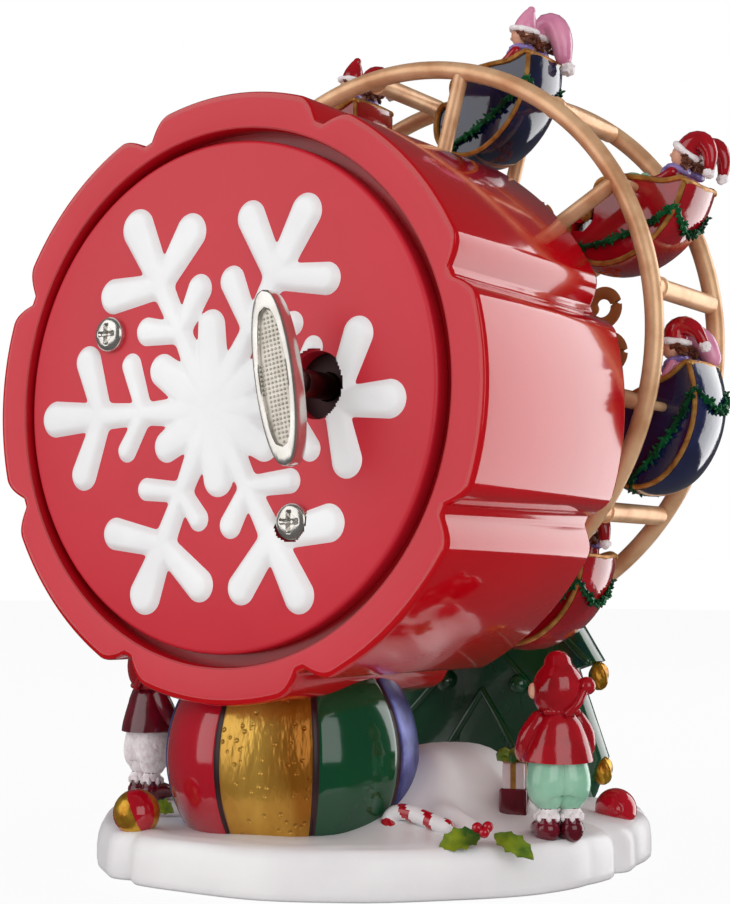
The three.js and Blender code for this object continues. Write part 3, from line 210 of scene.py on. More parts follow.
def plate(bm, outline, back, depth, tone=0, round_edge=0.0, segments=2):
    """A flat outline in X and Z, set at Y = back and thickened towards -Y."""
    old = set(bm.faces)
    verts = [bm.verts.new((x, back, z)) for x, z in outline]
    face = bm.faces.new(verts)
    grown = bmesh.ops.extrude_face_region(bm, geom=[face])["geom"]
    moved = [item for item in grown if isinstance(item, bmesh.types.BMVert)]
    bmesh.ops.translate(bm, vec=(0, -depth, 0), verts=moved)
    if round_edge:
        rims = [edge for edge in bm.edges if edge.link_faces and all(f not in old for f in edge.link_faces)
                and abs(edge.verts[0].co.y - edge.verts[1].co.y) < 1e-6]
        bmesh.ops.bevel(bm, geom=rims, offset=round_edge, segments=segments, affect="EDGES", profile=0.5,
                        material=-1)
    return paint(bm, old, tone)


def shift(bm, faces, matrix):
    """Moves the vertices of some faces."""
    bmesh.ops.transform(bm, matrix=matrix, verts=list({vert for face in faces for vert in face.verts}))


def piece(name, bm, materials, body, *nodes, sharp=38, weld=True):
    """Turns millimetres into metres, closes and orients the mesh, and hands it to a body of the frame."""
    if weld:
        bmesh.ops.remove_doubles(bm, verts=bm.verts, dist=1e-4)
    bmesh.ops.recalc_face_normals(bm, faces=bm.faces)
    bmesh.ops.scale(bm, vec=(MM, MM, MM), verts=bm.verts)
    mesh = bpy.data.meshes.new(name)
    bm.to_mesh(mesh)
    bm.free()
    for polygon in mesh.polygons:
        polygon.use_smooth = True
    mesh.set_sharp_from_angle(angle=math.radians(sharp))
    obj = bpy.data.objects.new(name, mesh)
    bpy.context.scene.collection.objects.link(obj)
    for material in (materials if isinstance(materials, (tuple, list)) else [materials]):
        mesh.materials.append(material)
    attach(obj, body)
    if nodes:
        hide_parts(*nodes)
    return obj


# %% [markdown]
# Cast resin figurines are painted by hand: the colour is never quite even, the gloss lacquer is wavy, and gold is
# rubbed on so that the brown under it shows. One recipe makes each paint: a noise mixes two close colours, a
# second finer noise dents the surface a little, and the gloss is set on the shader itself.

# %% Helpers for finishes
def paint_finish(name, colour, second, rough=0.2, metal=0.0, coat=0.0, patch=120, dent=0.1, grain=900,
                 dent_size=0.00012, stretch=(1, 1, 1), hold=(0.35, 0.65)):
    """A painted surface: two colours in patches, fine dents, and a lacquer."""
    material = bpy.data.materials.new(name)
    material.use_nodes = True
    nodes, links = material.node_tree.nodes, material.node_tree.links
    shader = nodes["Principled BSDF"]
    shader.inputs["Roughness"].default_value = rough
    shader.inputs["Metallic"].default_value = metal
    shader.inputs["Coat Weight"].default_value = coat
    shader.inputs["Coat Roughness"].default_value = 0.05
    where = nodes.new("ShaderNodeTexCoord")
    spread = nodes.new("ShaderNodeMapping")
    spread.inputs["Scale"].default_value = stretch
    links.new(where.outputs["Object"], spread.inputs["Vector"])
    patches = nodes.new("ShaderNodeTexNoise")
    patches.inputs["Scale"].default_value = patch
    patches.inputs["Detail"].default_value = 5
    links.new(spread.outputs["Vector"], patches.inputs["Vector"])
    ramp = nodes.new("ShaderNodeValToRGB")
    ramp.color_ramp.elements[0].position = hold[0]
    ramp.color_ramp.elements[1].position = hold[1]
    ramp.color_ramp.elements[0].color = (*colour, 1)
    ramp.color_ramp.elements[1].color = (*second, 1)
    links.new(patches.outputs["Fac"], ramp.inputs["Fac"])
    links.new(ramp.outputs["Color"], shader.inputs["Base Color"])
    fine = nodes.new("ShaderNodeTexNoise")
    fine.inputs["Scale"].default_value = grain
    fine.inputs["Detail"].default_value = 3
    links.new(spread.outputs["Vector"], fine.inputs["Vector"])
    bump = nodes.new("ShaderNodeBump")
    bump.inputs["Strength"].default_value = dent
    bump.inputs["Distance"].default_value = dent_size
    links.new(fine.outputs["Fac"], bump.inputs["Height"])
    links.new(bump.outputs["Normal"], shader.inputs["Normal"])
    return material


def linear(red, green, blue):
    """A colour as seen on screen, 0 to 255, as the shader's linear values."""
    return tuple(((v / 255) / 12.92 if v / 255 <= 0.04045 else ((v / 255 + 0.055) / 1.055) ** 2.4)
                 for v in (red, green, blue))


# %% [markdown]
# The toy is cast resin under paint, with nickel and brass on the metal parts. Each finish mixes two close shades,
# so that no surface looks like one flat colour.

# %% Finishes
drum_red = paint_finish("drum_red_lacquer", linear(190, 2, 18), linear(180, 1, 14), rough=0.12, coat=0.6, patch=30,
                        dent=0.12, grain=90, dent_size=0.0006)
back_red = paint_finish("back_red_satin", linear(206, 30, 50), linear(200, 26, 44), rough=0.4, coat=0.0, patch=40,
                        dent=0.12, grain=500, dent_size=0.0001)
# The groove's darker red is painted shade for the recess between the rim and the cover.
groove_shade_red = paint_finish("groove_painted_shade_red", linear(176, 10, 26), linear(160, 8, 20), rough=0.25, patch=60)
flake_white = paint_finish("snowflake_white", linear(246, 246, 246), linear(238, 237, 238), rough=0.42, patch=60,
                           dent=0.25, grain=260, dent_size=0.0003)
snow_white = paint_finish("snow_satin_white", linear(240, 238, 238), linear(228, 225, 227), rough=0.4, coat=0.1,
                          patch=45, dent=0.35, grain=160, dent_size=0.0004)
nickel = paint_finish("bright_nickel", linear(226, 222, 216), linear(210, 205, 198), rough=0.2, metal=0.9, patch=300,
                      dent=0.1, grain=2500, dent_size=0.00004)
nickel_panel = paint_finish("sunk_nickel_panel", linear(226, 219, 208), linear(206, 198, 186), rough=0.4, metal=0.7,
                            patch=900, dent=0.2, grain=2500, dent_size=0.00005)
# The arbor steel is real steel, darkened and tinted red: a painted reflection of the red drum around it.
steel = paint_finish("arbor_steel_painted_red_reflection", linear(150, 142, 140), linear(120, 108, 106), rough=0.25, metal=1.0, patch=400,
                     dent=0.15, grain=2500, dent_size=0.00005, stretch=(1, 0.1, 1))
wheel_gold = paint_finish("wheel_antique_gold", linear(242, 196, 152), linear(196, 132, 86), rough=0.38, metal=0.38,
                          patch=170, dent=0.25, grain=1500, dent_size=0.00008, hold=(0.42, 0.8))
# The scrolls' browner, flatter gold is painted shade: the wheel's gold darkened as if it lay in shadow.
scroll_gold_in_shade = paint_finish("scroll_gold_painted_shade", linear(182, 112, 52), linear(168, 100, 46), rough=0.6, metal=0.1,
                           patch=300, dent=0.1, grain=2000, dent_size=0.00005)
brass = paint_finish("movement_brass", linear(206, 168, 92), linear(186, 146, 74), rough=0.3, metal=1.0, patch=300,
                     dent=0.1, grain=2500, dent_size=0.00004)
plate_steel = paint_finish("movement_steel", linear(176, 176, 180), linear(150, 150, 156), rough=0.35, metal=1.0,
                           patch=200, dent=0.15, grain=1800, dent_size=0.00006)
ball_red = paint_finish("ball_red_gloss", linear(186, 22, 44), linear(168, 14, 34), rough=0.12, coat=0.6, patch=40,
                        dent=0.15, grain=160, dent_size=0.0004)
ball_green = paint_finish("ball_green_gloss", linear(12, 78, 44), linear(8, 62, 36), rough=0.12, coat=0.6, patch=50,
                          dent=0.15, grain=160, dent_size=0.0004)
seam_dark = paint_finish("seam_dark", linear(60, 18, 24), linear(40, 12, 18), rough=0.4)
print(len(bpy.data.materials), "finishes so far")

# %% [markdown]
# The drum is a red lacquered cup with eight lobes, like a fluted cake tin: each lobe is a broad arc, and between
# two lobes both shoulders round in to a narrow cusp. The outline is one ring of points moved in and out, and the
# body is that ring extruded from rim to front, with small steps where the edges are rounded. It could be eight
# joined cylinders, but one ring keeps every edge clean and lets the lobes run straight along the side.

# %% Drum housing
drum_low, drum_high, drum_mid, drum_size = measure("drum_housing")
lobe_radius = drum_size.x / 2
notch_drop = 3.0
notch_half = 6.5
notch_turn = 1.85
rim_radius = 42.9


def drum_reach(angle):
    """Radius of the drum's outline at an angle in degrees."""
    from_notch = (angle - 22.5 - notch_turn + 22.5) % 45 - 22.5
    part = abs(from_notch) / notch_half
    if part >= 1:
        return lobe_radius
    ledge = 0.16
    rise = math.sin(math.pi / 2 * max(0.0, (part - ledge) / (1 - ledge)))
    return lobe_radius - notch_drop * (1 - rise)


def drum_ring(bm, edges, grow, y, lobed=True, radius=0.0):
    """Extrudes a ring of the drum and moves the copy to a new reach and depth."""
    if edges is None:
        made = bmesh.ops.create_circle(bm, cap_ends=False, segments=960, radius=1.0)
        verts = made["verts"]
        ring = list({edge for vert in verts for edge in vert.link_edges})
        start = Matrix.Rotation(math.pi / 2, 4, "X")
        bmesh.ops.transform(bm, matrix=start, verts=verts)
    else:
        grown = bmesh.ops.extrude_edge_only(bm, edges=edges)["geom"]
        verts = [item for item in grown if isinstance(item, bmesh.types.BMVert)]
        ring = [item for item in grown if isinstance(item, bmesh.types.BMEdge) and
                all(vert in verts for vert in item.verts)]
    for vert in verts:
        angle = math.degrees(math.atan2(vert.co.z - (drum_mid.z if edges else 0), vert.co.x))
        reach = drum_reach(angle) + grow if lobed else radius
        turn = math.radians(angle)
        vert.co = Vector((reach * math.cos(turn), y, drum_mid.z + reach * math.sin(turn)))
    return ring


bm = bmesh.new()
back, front = drum_high.y, drum_low.y
ring = drum_ring(bm, None, -1.1, back)
for grow, y in ((-0.75, back), (-0.3, back - 0.12), (-0.08, back - 0.4), (0, back - 0.9),
                (0, front + 0.9), (-0.08, front + 0.4), (-0.3, front + 0.12), (-0.75, front), (-1.3, front)):
    ring = drum_ring(bm, ring, grow, y)
for radius, y in ((30, front), (4.7, front), (4.7, front + 3.6), (39.8, front + 3.6), (39.8, back - 3.9)):
    ring = drum_ring(bm, ring, 0, y, lobed=False, radius=radius)
old_faces = set(bm.faces)
for radius, y in ((rim_radius, back - 3.9), (rim_radius, back - 0.35), (rim_radius + 0.12, back - 0.1),
                  (rim_radius + 0.4, back)):
    ring = drum_ring(bm, ring, 0, y, lobed=False, radius=radius)
# The groove floor and outer wall take the darker red: painted shade in the recess.
paint(bm, old_faces, 2)
rim_rings = [edge for edge in bm.edges if edge.is_boundary]
old_faces = set(bm.faces)
bmesh.ops.bridge_loops(bm, edges=rim_rings)
paint(bm, old_faces, 1)
drum = piece("drum_shell", bm, (drum_red, back_red, groove_shade_red), "figurine", "drum_housing", sharp=30)
print("drum faces", len(drum.data.polygons))

# %% [markdown]
# The cover is a satin red disc let into the rim, with a keyhole and two screw holes. A filled set of loops gives
# the flat face with its holes in one step, which a boolean would also do with more clean-up. The loops are then
# extruded forwards for the thickness, the outer one first with a soft round edge.

# %% Rear cover
cover_low, cover_high, cover_mid, cover_size = measure("rear_cover")
key_low, _, key_mid, key_size = measure("key_arbor")
screw_mids = [measure(f"cover_screw_{i}")[2] for i in (1, 2)]
cover_radius = cover_size.z / 2
keyhole_radius = 5.3


def loop(bm, centre, radius, y, segments):
    """A round loop of edges that faces along Y."""
    place = Matrix.Translation((centre.x, y, centre.z)) @ Matrix.Rotation(math.pi / 2, 4, "X")
    verts = bmesh.ops.create_circle(bm, cap_ends=False, segments=segments, radius=radius, matrix=place)["verts"]
    return list({edge for vert in verts for edge in vert.link_edges})


def drop(bm, edges, y, grow=None):
    """Extrudes a loop to another depth, and widens it about a centre."""
    grown = bmesh.ops.extrude_edge_only(bm, edges=edges)["geom"]
    verts = [item for item in grown if isinstance(item, bmesh.types.BMVert)]
    for vert in verts:
        vert.co.y = y
    if grow:
        centre, factor = grow
        about = Matrix.Translation((-centre.x, 0, -centre.z))
        bmesh.ops.scale(bm, vec=(factor, 1, factor), space=about, verts=verts)
    return [item for item in grown if isinstance(item, bmesh.types.BMEdge) and
            all(vert in verts for vert in item.verts)]


bm = bmesh.new()
edge_round = 0.7
outer = loop(bm, cover_mid, cover_radius - edge_round, cover_high.y, 256)
holes = [loop(bm, key_mid, keyhole_radius, cover_high.y, 64)]
holes += [loop(bm, mid, 1.7, cover_high.y, 24) for mid in screw_mids]
bmesh.ops.triangle_fill(bm, use_beauty=True, use_dissolve=False, edges=outer + [e for h in holes for e in h])
reach = cover_radius - edge_round
for step in (30, 60, 90):
    turn = math.radians(step)
    new_reach = cover_radius - edge_round * (1 - math.sin(turn))
    outer = drop(bm, outer, cover_high.y - edge_round * (1 - math.cos(turn)), (cover_mid, new_reach / reach))
    reach = new_reach
drop(bm, outer, cover_low.y)
for hole in holes:
    drop(bm, hole, cover_low.y)
piece("cover_disc", bm, back_red, "figurine", "rear_cover")
print("cover radius", round(cover_radius, 1))

# %% [markdown]
# The snowflake is a soft raised relief: six arms with club-shaped branches that melt into each other. Sculpting it
# by hand would work, but it is even quicker to lift a fine grid by a rule: where a point lies inside any branch
# it rises like a pillow, and outside it sinks into the cover, so the edge is drawn by the cover itself.

# %% Snowflake relief
flake_high = measure("snowflake_relief")[1]
flake_centre = Vector((2.0, 0, drum_mid.z - 2.0))
flake_reach = 37.4
flake_rise = flake_high.y - cover_high.y
# The six arms from the +X side upwards. Each row is distance and turn from the centre, and half width, for the
# arm's tip, the clubs on both sides of it, and the short branches nearer the hub
flake_arms = (
    ((34.3, 0, 3.1), (29.3, -19, 2.8), (28.7, 19, 2.8), (19.1, -18, 2.0), (19.3, 25, 2.1)),
    ((35.1, 62, 3.4), (29.5, 43, 3.0), (29.7, 80, 3.2), (19.6, 44, 2.4), (20.0, 81, 2.5)),
    ((35.1, 121, 3.0), (31.2, 103.5, 2.8), (29.3, 139, 2.6), (20.8, 100, 2.5), (20.2, 141, 2.0)),
    ((33.8, 180, 3.0), (29.8, 160, 2.8), (27.6, 199, 2.8), (21.4, 156, 1.9), (20.4, 200, 2.0)),
    ((34.2, 239.6, 2.9), (29.3, 219, 3.0), (29.1, 258, 2.7), (19.4, 217.5, 2.0), (18.9, 258.5, 2.2)),
    ((32.7, 295, 3.3), (28.1, 275, 2.8), (28.3, 316, 2.7), (17.7, 279, 2.0), (18.6, 318, 1.9)),
)
# The lobes of the hub between the arms
flake_lobes = ((12.7, 33, 2.8), (13.5, 87.5, 2.8), (12.0, 150, 2.7), (12.0, 210, 2.7), (11.1, 264, 3.0),
               (11.0, 330, 2.7))


def flake_point(distance, turn):
    return Vector((distance * math.cos(math.radians(turn)), distance * math.sin(math.radians(turn))))


# Each branch: start, end, and half width at both
branches = []
for tip, *side_tips in flake_arms:
    fork, joint = flake_point(23.8, tip[1]), flake_point(14.5, tip[1])
    branches.append((flake_point(3, tip[1]), joint, 2.7, 1.9))
    branches.append((joint, fork, 1.8, 2.3))
    branches.append((fork, flake_point(*tip[:2]), 2.2, tip[2]))
    for club in side_tips[:2]:
        branches.append((fork, flake_point(*club[:2]), 2.1, club[2]))
    for short in side_tips[2:]:
        branches.append((joint, flake_point(*short[:2]), 1.7, short[2]))
for distance, turn, half in flake_lobes:
    branches.append((Vector((0, 0)), flake_point(distance, turn), 3.6, half))


def flake_depth(x, z):
    """How far inside the snowflake a point lies, less than zero outside, and how near a branch's middle line."""
    point = Vector((x, z))
    best = 7.6 - point.length
    crown = max(0.0, 1 - (point.length / 6.4) ** 2)
    for start, end, start_half, end_half in branches:
        along = end - start
        part = min(1.0, max(0.0, (point - start).dot(along) / along.length_squared))
        half = start_half + (end_half - start_half) * part
        apart = (point - start - along * part).length
        depth = half - apart
        crown = max(crown, 1 - (apart / half) ** 2)
        soft = max(0.0, 1.0 - abs(best - depth))
        best = max(best, depth) + soft * soft * soft / 6
    return best, crown


bm = bmesh.new()
grid_step = 0.3
half_x = flake_reach + 1.2
half_z = flake_reach * 0.93
cells = (round(2 * half_x / grid_step), round(2 * half_z / grid_step))
bmesh.ops.create_grid(bm, x_segments=cells[0], y_segments=cells[1], size=1.0)
bmesh.ops.scale(bm, vec=(half_x, half_z, 1), verts=bm.verts)
outside = []
for vert in bm.verts:
    x, z = vert.co.x, vert.co.y
    depth, crown = flake_depth(x, z)
    if depth < -0.7:
        outside.append(vert)
    edge = min(1.0, max(0.0, depth / 1.1))
    lift = 1 - (1 - edge) ** 2 if depth > 0 else 1.8 * depth
    lump = noise.noise(Vector((x * 0.11, z * 0.11, 3.0))) * 0.1 + noise.noise(Vector((x * 0.4, z * 0.4, 9.0))) * 0.05
    rise = flake_rise * (0.56 * lift + 0.38 * crown * edge + lump * edge) - 0.02
    vert.co = Vector((x + flake_centre.x, cover_high.y + min(rise, flake_rise), z + flake_centre.z))
bmesh.ops.delete(bm, geom=outside, context="VERTS")
in_hole = [vert for vert in bm.verts if (Vector((vert.co.x, vert.co.z)) - Vector((key_mid.x, key_mid.z))).length
           < keyhole_radius + 0.05]
bmesh.ops.delete(bm, geom=in_hole, context="VERTS")
for screw in screw_mids:
    near = [vert for vert in bm.verts if math.hypot(vert.co.x - screw.x, vert.co.z - screw.z) < 2.95]
    bmesh.ops.delete(bm, geom=near, context="VERTS")
flake = piece("snowflake", bm, flake_white, "figurine", "snowflake_relief", sharp=80)
if sum(polygon.normal.y for polygon in flake.data.polygons) < 0:
    flake.data.flip_normals()
print("snowflake faces", len(flake.data.polygons))

# %% [markdown]
# The screws have a pan head with a cross recess. A turned head is pushed in where the cross lies.

# %% Cover screws
def screw(name, middle, body, node):
    low, high, _, size = measure(node)
    radius = size.x / 2
    dome = high.y - cover_high.y
    bm = bmesh.new()
    profile = [(1.4, low.y), (1.4, cover_high.y - 0.1), (radius, cover_high.y - 0.1), (radius, cover_high.y + 0.35)]
    profile += [(radius * math.cos(math.radians(a)) ** 0.7, cover_high.y + 0.35 + (dome - 0.35) * math.sin(
        math.radians(a)) ** 0.8) for a in range(8, 90, 4)]
    profile += [(radius * (1 - step / 24) * 0.5, high.y) for step in range(2, 24, 2)] + [(0, high.y)]
    turned(bm, profile, (middle.x, 0, middle.z), steps=72)
    for vert in bm.verts:
        x, z = vert.co.x - middle.x, vert.co.z - middle.z
        if vert.co.y > cover_high.y + 0.3:
            arm = min(max(abs(x), abs(z)) / (radius * 0.62), 1)
            across = min(abs(x), abs(z)) / 0.42
            if arm < 1 and across < 1:
                vert.co.y -= dome * 0.62 * (1 - arm ** 4) * (1 - across ** 4)
    return piece(name, bm, nickel, body, node, sharp=50)


for i, middle in enumerate(screw_mids, 1):
    screw(f"pan_screw_{i}", middle, "figurine", f"cover_screw_{i}")

# %% [markdown]
# The winding key is a nickel plate, long and round-ended, with a raised rim round a sunk panel of tiny dots. The
# plate is an oval ring extruded back and stepped in for the rim. The dots are small balls set in rows, few
# enough to be real shapes. Its collar takes the steel arbor that runs into the keyhole.

# %% Winding key
plate_low, plate_high, _, plate_size = measure("winding_key")
key_axis = Vector((key_mid.x, 0, key_mid.z))
head_centre = key_axis + Vector((-1.0, 0, 0))
key_half_length = plate_size.z / 2 * 1.03
key_half_width = 3.6
panel_inset_length, panel_inset_width = 2.7, 1.0
key_tilt = math.radians(10)
head_back = plate_high.y
head_front = head_back - 3.0


def oval(bm, half_length, half_width, y, edges=None):
    """The key's outline: an ellipse that is a little squared, turned with the key."""
    if edges is None:
        verts = bmesh.ops.create_circle(bm, cap_ends=False, segments=96, radius=1.0)["verts"]
        for vert in verts:
            vert.co = Vector((vert.co.x, 0, vert.co.y))
        ring = list({edge for vert in verts for edge in vert.link_edges})
    else:
        grown = bmesh.ops.extrude_edge_only(bm, edges=edges)["geom"]
        verts = [item for item in grown if isinstance(item, bmesh.types.BMVert)]
        ring = [item for item in grown if isinstance(item, bmesh.types.BMEdge) and
                all(vert in verts for vert in item.verts)]
        upright = [Matrix.Rotation(-key_tilt, 4, "Y") @ (vert.co - head_centre) for vert in verts]
        former_width, former_length = (max(abs(local[axis]) for local in upright) for axis in (0, 2))
        for vert, local in zip(verts, upright):
            vert.co = Vector((local.x / former_width, 0, local.z / former_length)).normalized()
    for vert in verts:
        turn = math.atan2(vert.co.z, vert.co.x)
        x = half_width * math.copysign(abs(math.cos(turn)) ** 0.86, math.cos(turn))
        z = half_length * math.copysign(abs(math.sin(turn)) ** 0.98, math.sin(turn))
        vert.co = head_centre + Matrix.Rotation(key_tilt, 4, "Y") @ Vector((x, 0, z))
        vert.co.y = y
    return ring


bm = bmesh.new()
length, width = key_half_length, key_half_width
ring = oval(bm, length - 0.5, width - 0.5, head_front)
first_ring = ring
for inset, y in ((0.15, head_front + 0.15), (0, head_front + 0.5), (0, head_back - 0.35), (0.1, head_back - 0.1),
                 (0.3, head_back)):
    ring = oval(bm, length - inset, width - inset, y, ring)
for inset, y in ((0, head_back), (0.12, head_back - 0.1), (0.2, head_back - 0.6)):
    ring = oval(bm, length - panel_inset_length - inset, width - panel_inset_width - inset, y, ring)
old_faces = set(bm.faces)
bmesh.ops.contextual_create(bm, geom=ring)
paint(bm, old_faces, 1)
bmesh.ops.contextual_create(bm, geom=first_ring)
dot_step, dot_radius = 0.7, 0.24
dot_inset_length, dot_inset_width = 3.2, 1.45
for row in range(-22, 23):
    for column in range(-4, 5):
        x, z = column * dot_step, row * dot_step
        if (x / (width - dot_inset_width)) ** 2 + (z / (length - dot_inset_length)) ** 2 > 1:
            continue
        at = head_centre + Matrix.Rotation(key_tilt, 4, "Y") @ Vector((x, 0, z))
        ball(bm, (at.x, head_back - 0.6, at.z), dot_radius, 1, detail=1)
collar_radius = 2.7
collar = [(0, plate_low.y), (collar_radius - 0.4, plate_low.y), (collar_radius, plate_low.y + 0.4),
          (collar_radius, head_front + 0.2), (0, head_front + 0.2)]
turned(bm, collar, key_axis, steps=40)
piece("key_plate", bm, (nickel, nickel_panel), "key", "winding_key", sharp=40)

bm = bmesh.new()
arbor_radius = key_size.x / 2
turned(bm, [(0, key_low.y), (arbor_radius, key_low.y), (arbor_radius, plate_low.y + 0.3), (0, plate_low.y + 0.3)],
       key_axis, steps=32)
turned(bm, [(arbor_radius + 0.5, plate_low.y + 0.2), (arbor_radius + 0.4, plate_low.y - 1.2),
            (arbor_radius, plate_low.y - 2.6)], key_axis, steps=32)
piece("key_arbor_steel", bm, steel, "key", "key_arbor")
print("key plate is", round(2 * key_half_length, 1), "mm long")

# %% [markdown]
# The wheel is two rings of brass tube, joined by crossbars and braced by spokes. A ring is a small circle spun
# round the axle line; a spoke or crossbar is a straight bar. The front ring carries a thinner bead soldered along
# it, and each crossbar meets the rear ring in a small collar.

# %% Wheel frames
hub_mid = measure("wheel_axle")[2]
wheel_z = hub_mid.z
_, frame_high, _, frame_size = measure("front_wheel_frame")
rear_high = measure("rear_wheel_frame")[1]
tube = 1.62
ring_radius = frame_size.z / 2 - 1.5
rear_y = rear_high.y - 2.2
front_y = frame_high.y - 2.2
spoke_angle, bar_angle, wheel_count = 30, 7.5, 8


def on_wheel(angle, radius, y):
    turn = math.radians(angle)
    return Vector((-radius * math.cos(turn), y, wheel_z + radius * math.sin(turn)))


def hoop(bm, radius, thickness, y, tone=0, steps=192, sides=16):
    """A ring of round tube about the axle."""
    old = set(bm.faces)
    place = Matrix.Translation((radius, y, wheel_z))
    verts = bmesh.ops.create_circle(bm, cap_ends=False, segments=sides, radius=thickness, matrix=place)["verts"]
    edges = list({edge for vert in verts for edge in vert.link_edges})
    bmesh.ops.spin(bm, geom=verts + edges, cent=(0, 0, wheel_z), axis=(0, 1, 0), angle=math.tau, steps=steps,
                   use_merge=True)
    return paint(bm, old, tone)


def straight(bm, start, end, radius, tone=0, sides=16, ends=False):
    side = Vector((0, 0, 1)) if abs((end - start).normalized().z) < 0.9 else Vector((1, 0, 0))
    return bar(bm, [(*start, radius), (*end, radius)], tone, sides, 1, side, round_ends=ends)


def hub(bm, y, tone=0):
    profile = [(2.3, y - 2.2), (4.2, y - 2.2), (4.9, y - 1.6), (5, y - 0.8), (4.2, y - 0.3), (4.2, y + 0.3),
               (5, y + 0.8), (4.9, y + 1.6), (4.2, y + 2.2), (2.3, y + 2.2), (2.3, y - 2.2)]
    turned(bm, profile, (0, 0, wheel_z), tone=tone, steps=48)


def c_scroll(bm, angle, side, y):
    """One C of a pair that stands back to back in a sector: a flat strip that curls to a ball."""
    lobe, shift_side, centre_radius, strip = 3.5, 4.6, 29.3, 1.2
    start = [on_wheel(angle + side * 22.5, 24.6, y), on_wheel(angle + side * 17, 24.2, y)]
    middle = on_wheel(angle, centre_radius, y)
    out = (middle - Vector((0, y, wheel_z))).normalized()
    across = out.cross(Vector((0, 1, 0))) * side
    if across.dot(on_wheel(angle + side, centre_radius, y) - middle) < 0:
        across = -across
    centre = middle + across * shift_side
    points = []
    for step in range(15):
        turn = math.radians(-150 + step * 24)
        reach = lobe * (1 - step / 14 * 0.42)
        points.append(centre + across * math.sin(-turn) * -reach + out * -math.cos(-turn) * -reach)
    rows = [(*point, strip, 0.5) for point in points]
    bar(bm, rows, 1, steps=2, side=Vector((0, 1, 0)).cross(out), square=False, round_ends=True, sides=8)
    ball(bm, points[-1], (1.35, 0.6, 1.35), 1, detail=2)
    tail = [(*start[0], strip, 0.5), (*start[1], strip, 0.5), (*points[0], strip, 0.5)]
    bar(bm, tail, 1, steps=3, side=(0, 1, 0), sides=8)


bm = bmesh.new()
hoop(bm, ring_radius, tube, rear_y)
hub(bm, rear_y)
for i in range(wheel_count):
    straight(bm, on_wheel(spoke_angle + 45 * i, 4, rear_y), on_wheel(spoke_angle + 45 * i, ring_radius, rear_y), 1.4)
    angle = bar_angle + 45 * i
    straight(bm, on_wheel(angle, ring_radius, rear_y), on_wheel(angle, ring_radius, front_y + 1.8), 1.72)
    turned(bm, [(1.7, rear_y - 2.9), (2.0, rear_y - 2.8), (2.0, rear_y - 2.1), (1.7, rear_y - 2.0)],
           on_wheel(angle, ring_radius, 0), steps=24)
piece("rear_hoop", bm, wheel_gold, "wheel", "rear_wheel_frame", sharp=50)

bm = bmesh.new()
hoop(bm, ring_radius, tube, front_y)
hoop(bm, ring_radius, 0.95, front_y - 1.62, sides=10)
hub(bm, front_y)
for i in range(wheel_count):
    straight(bm, on_wheel(spoke_angle + 45 * i, 4, front_y), on_wheel(spoke_angle + 45 * i, ring_radius, front_y), 1.4)
    for side in (-1, 1):
        c_scroll(bm, bar_angle + 45 * i, side, front_y)
# The scrolls take the darker brown gold, which is painted shade on the wheel's own gold.
piece("front_hoop", bm, (wheel_gold, scroll_gold_in_shade), "wheel", "front_wheel_frame", sharp=50)

for i in range(1, wheel_count + 1):
    low, high, mid, size = measure(f"pivot_pin_{i}")
    bm = bmesh.new()
    straight(bm, Vector((mid.x, low.y, mid.z)), Vector((mid.x, high.y, mid.z)), size.x / 2, sides=16)
    piece(f"gondola_pin_{i}", bm, wheel_gold, "wheel", f"pivot_pin_{i}")
print("ring radius", round(ring_radius, 1))

# %% [markdown]
# The drum stands on a Christmas bauble of eight painted gores, parted by dark seams. A ball made of columns can be
# painted by column, and the seam is a column pushed in a little.

# %% Ornament ball
ball_low, _, ball_mid, _ = measure("ornament_ball")
ball_radius = 21.2
ball_centre = Vector((ball_mid.x, ball_mid.y, 18.9))


def bumpy_gold(name):
    """Gold leaf paint over a rough cast: brushed upright, with pits and bubbles."""
    material = paint_finish(name, linear(224, 176, 78), linear(164, 102, 22), rough=0.3, metal=0.6, patch=75,
                            dent=0.9, grain=420, dent_size=0.0007, stretch=(1, 1, 0.28), hold=(0.35, 0.65))
    nodes, links = material.node_tree.nodes, material.node_tree.links
    where = nodes["Texture Coordinate"]
    pits = nodes.new("ShaderNodeTexVoronoi")
    pits.inputs["Scale"].default_value = 620
    links.new(where.outputs["Object"], pits.inputs["Vector"])
    pit_ramp = nodes.new("ShaderNodeValToRGB")
    pit_ramp.color_ramp.elements[0].position = 0.08
    pit_ramp.color_ramp.elements[1].position = 0.26
    links.new(pits.outputs["Distance"], pit_ramp.inputs["Fac"])
    second = nodes.new("ShaderNodeBump")
    second.inputs["Strength"].default_value = 0.8
    second.inputs["Distance"].default_value = 0.0003
    links.new(pit_ramp.outputs["Color"], second.inputs["Height"])
    links.new(nodes["Bump"].outputs["Normal"], second.inputs["Normal"])
    links.new(second.outputs["Normal"], nodes["Principled BSDF"].inputs["Normal"])
    return material


def glitter(name, colour, second, size=1300, rough=0.3):
    """Glitter paint: tiny flakes, each tipped its own way."""
    material = paint_finish(name, colour, second, rough=rough, metal=0.55, patch=260, dent=0.3, grain=700)
    nodes, links = material.node_tree.nodes, material.node_tree.links
    flakes = nodes.new("ShaderNodeTexVoronoi")
    flakes.inputs["Scale"].default_value = size
    links.new(nodes["Texture Coordinate"].outputs["Object"], flakes.inputs["Vector"])
    tip = nodes.new("ShaderNodeBump")
    tip.inputs["Strength"].default_value = 1.0
    tip.inputs["Distance"].default_value = 0.0006
    links.new(flakes.outputs["Color"], tip.inputs["Height"])
    links.new(tip.outputs["Normal"], nodes["Principled BSDF"].inputs["Normal"])
    return material


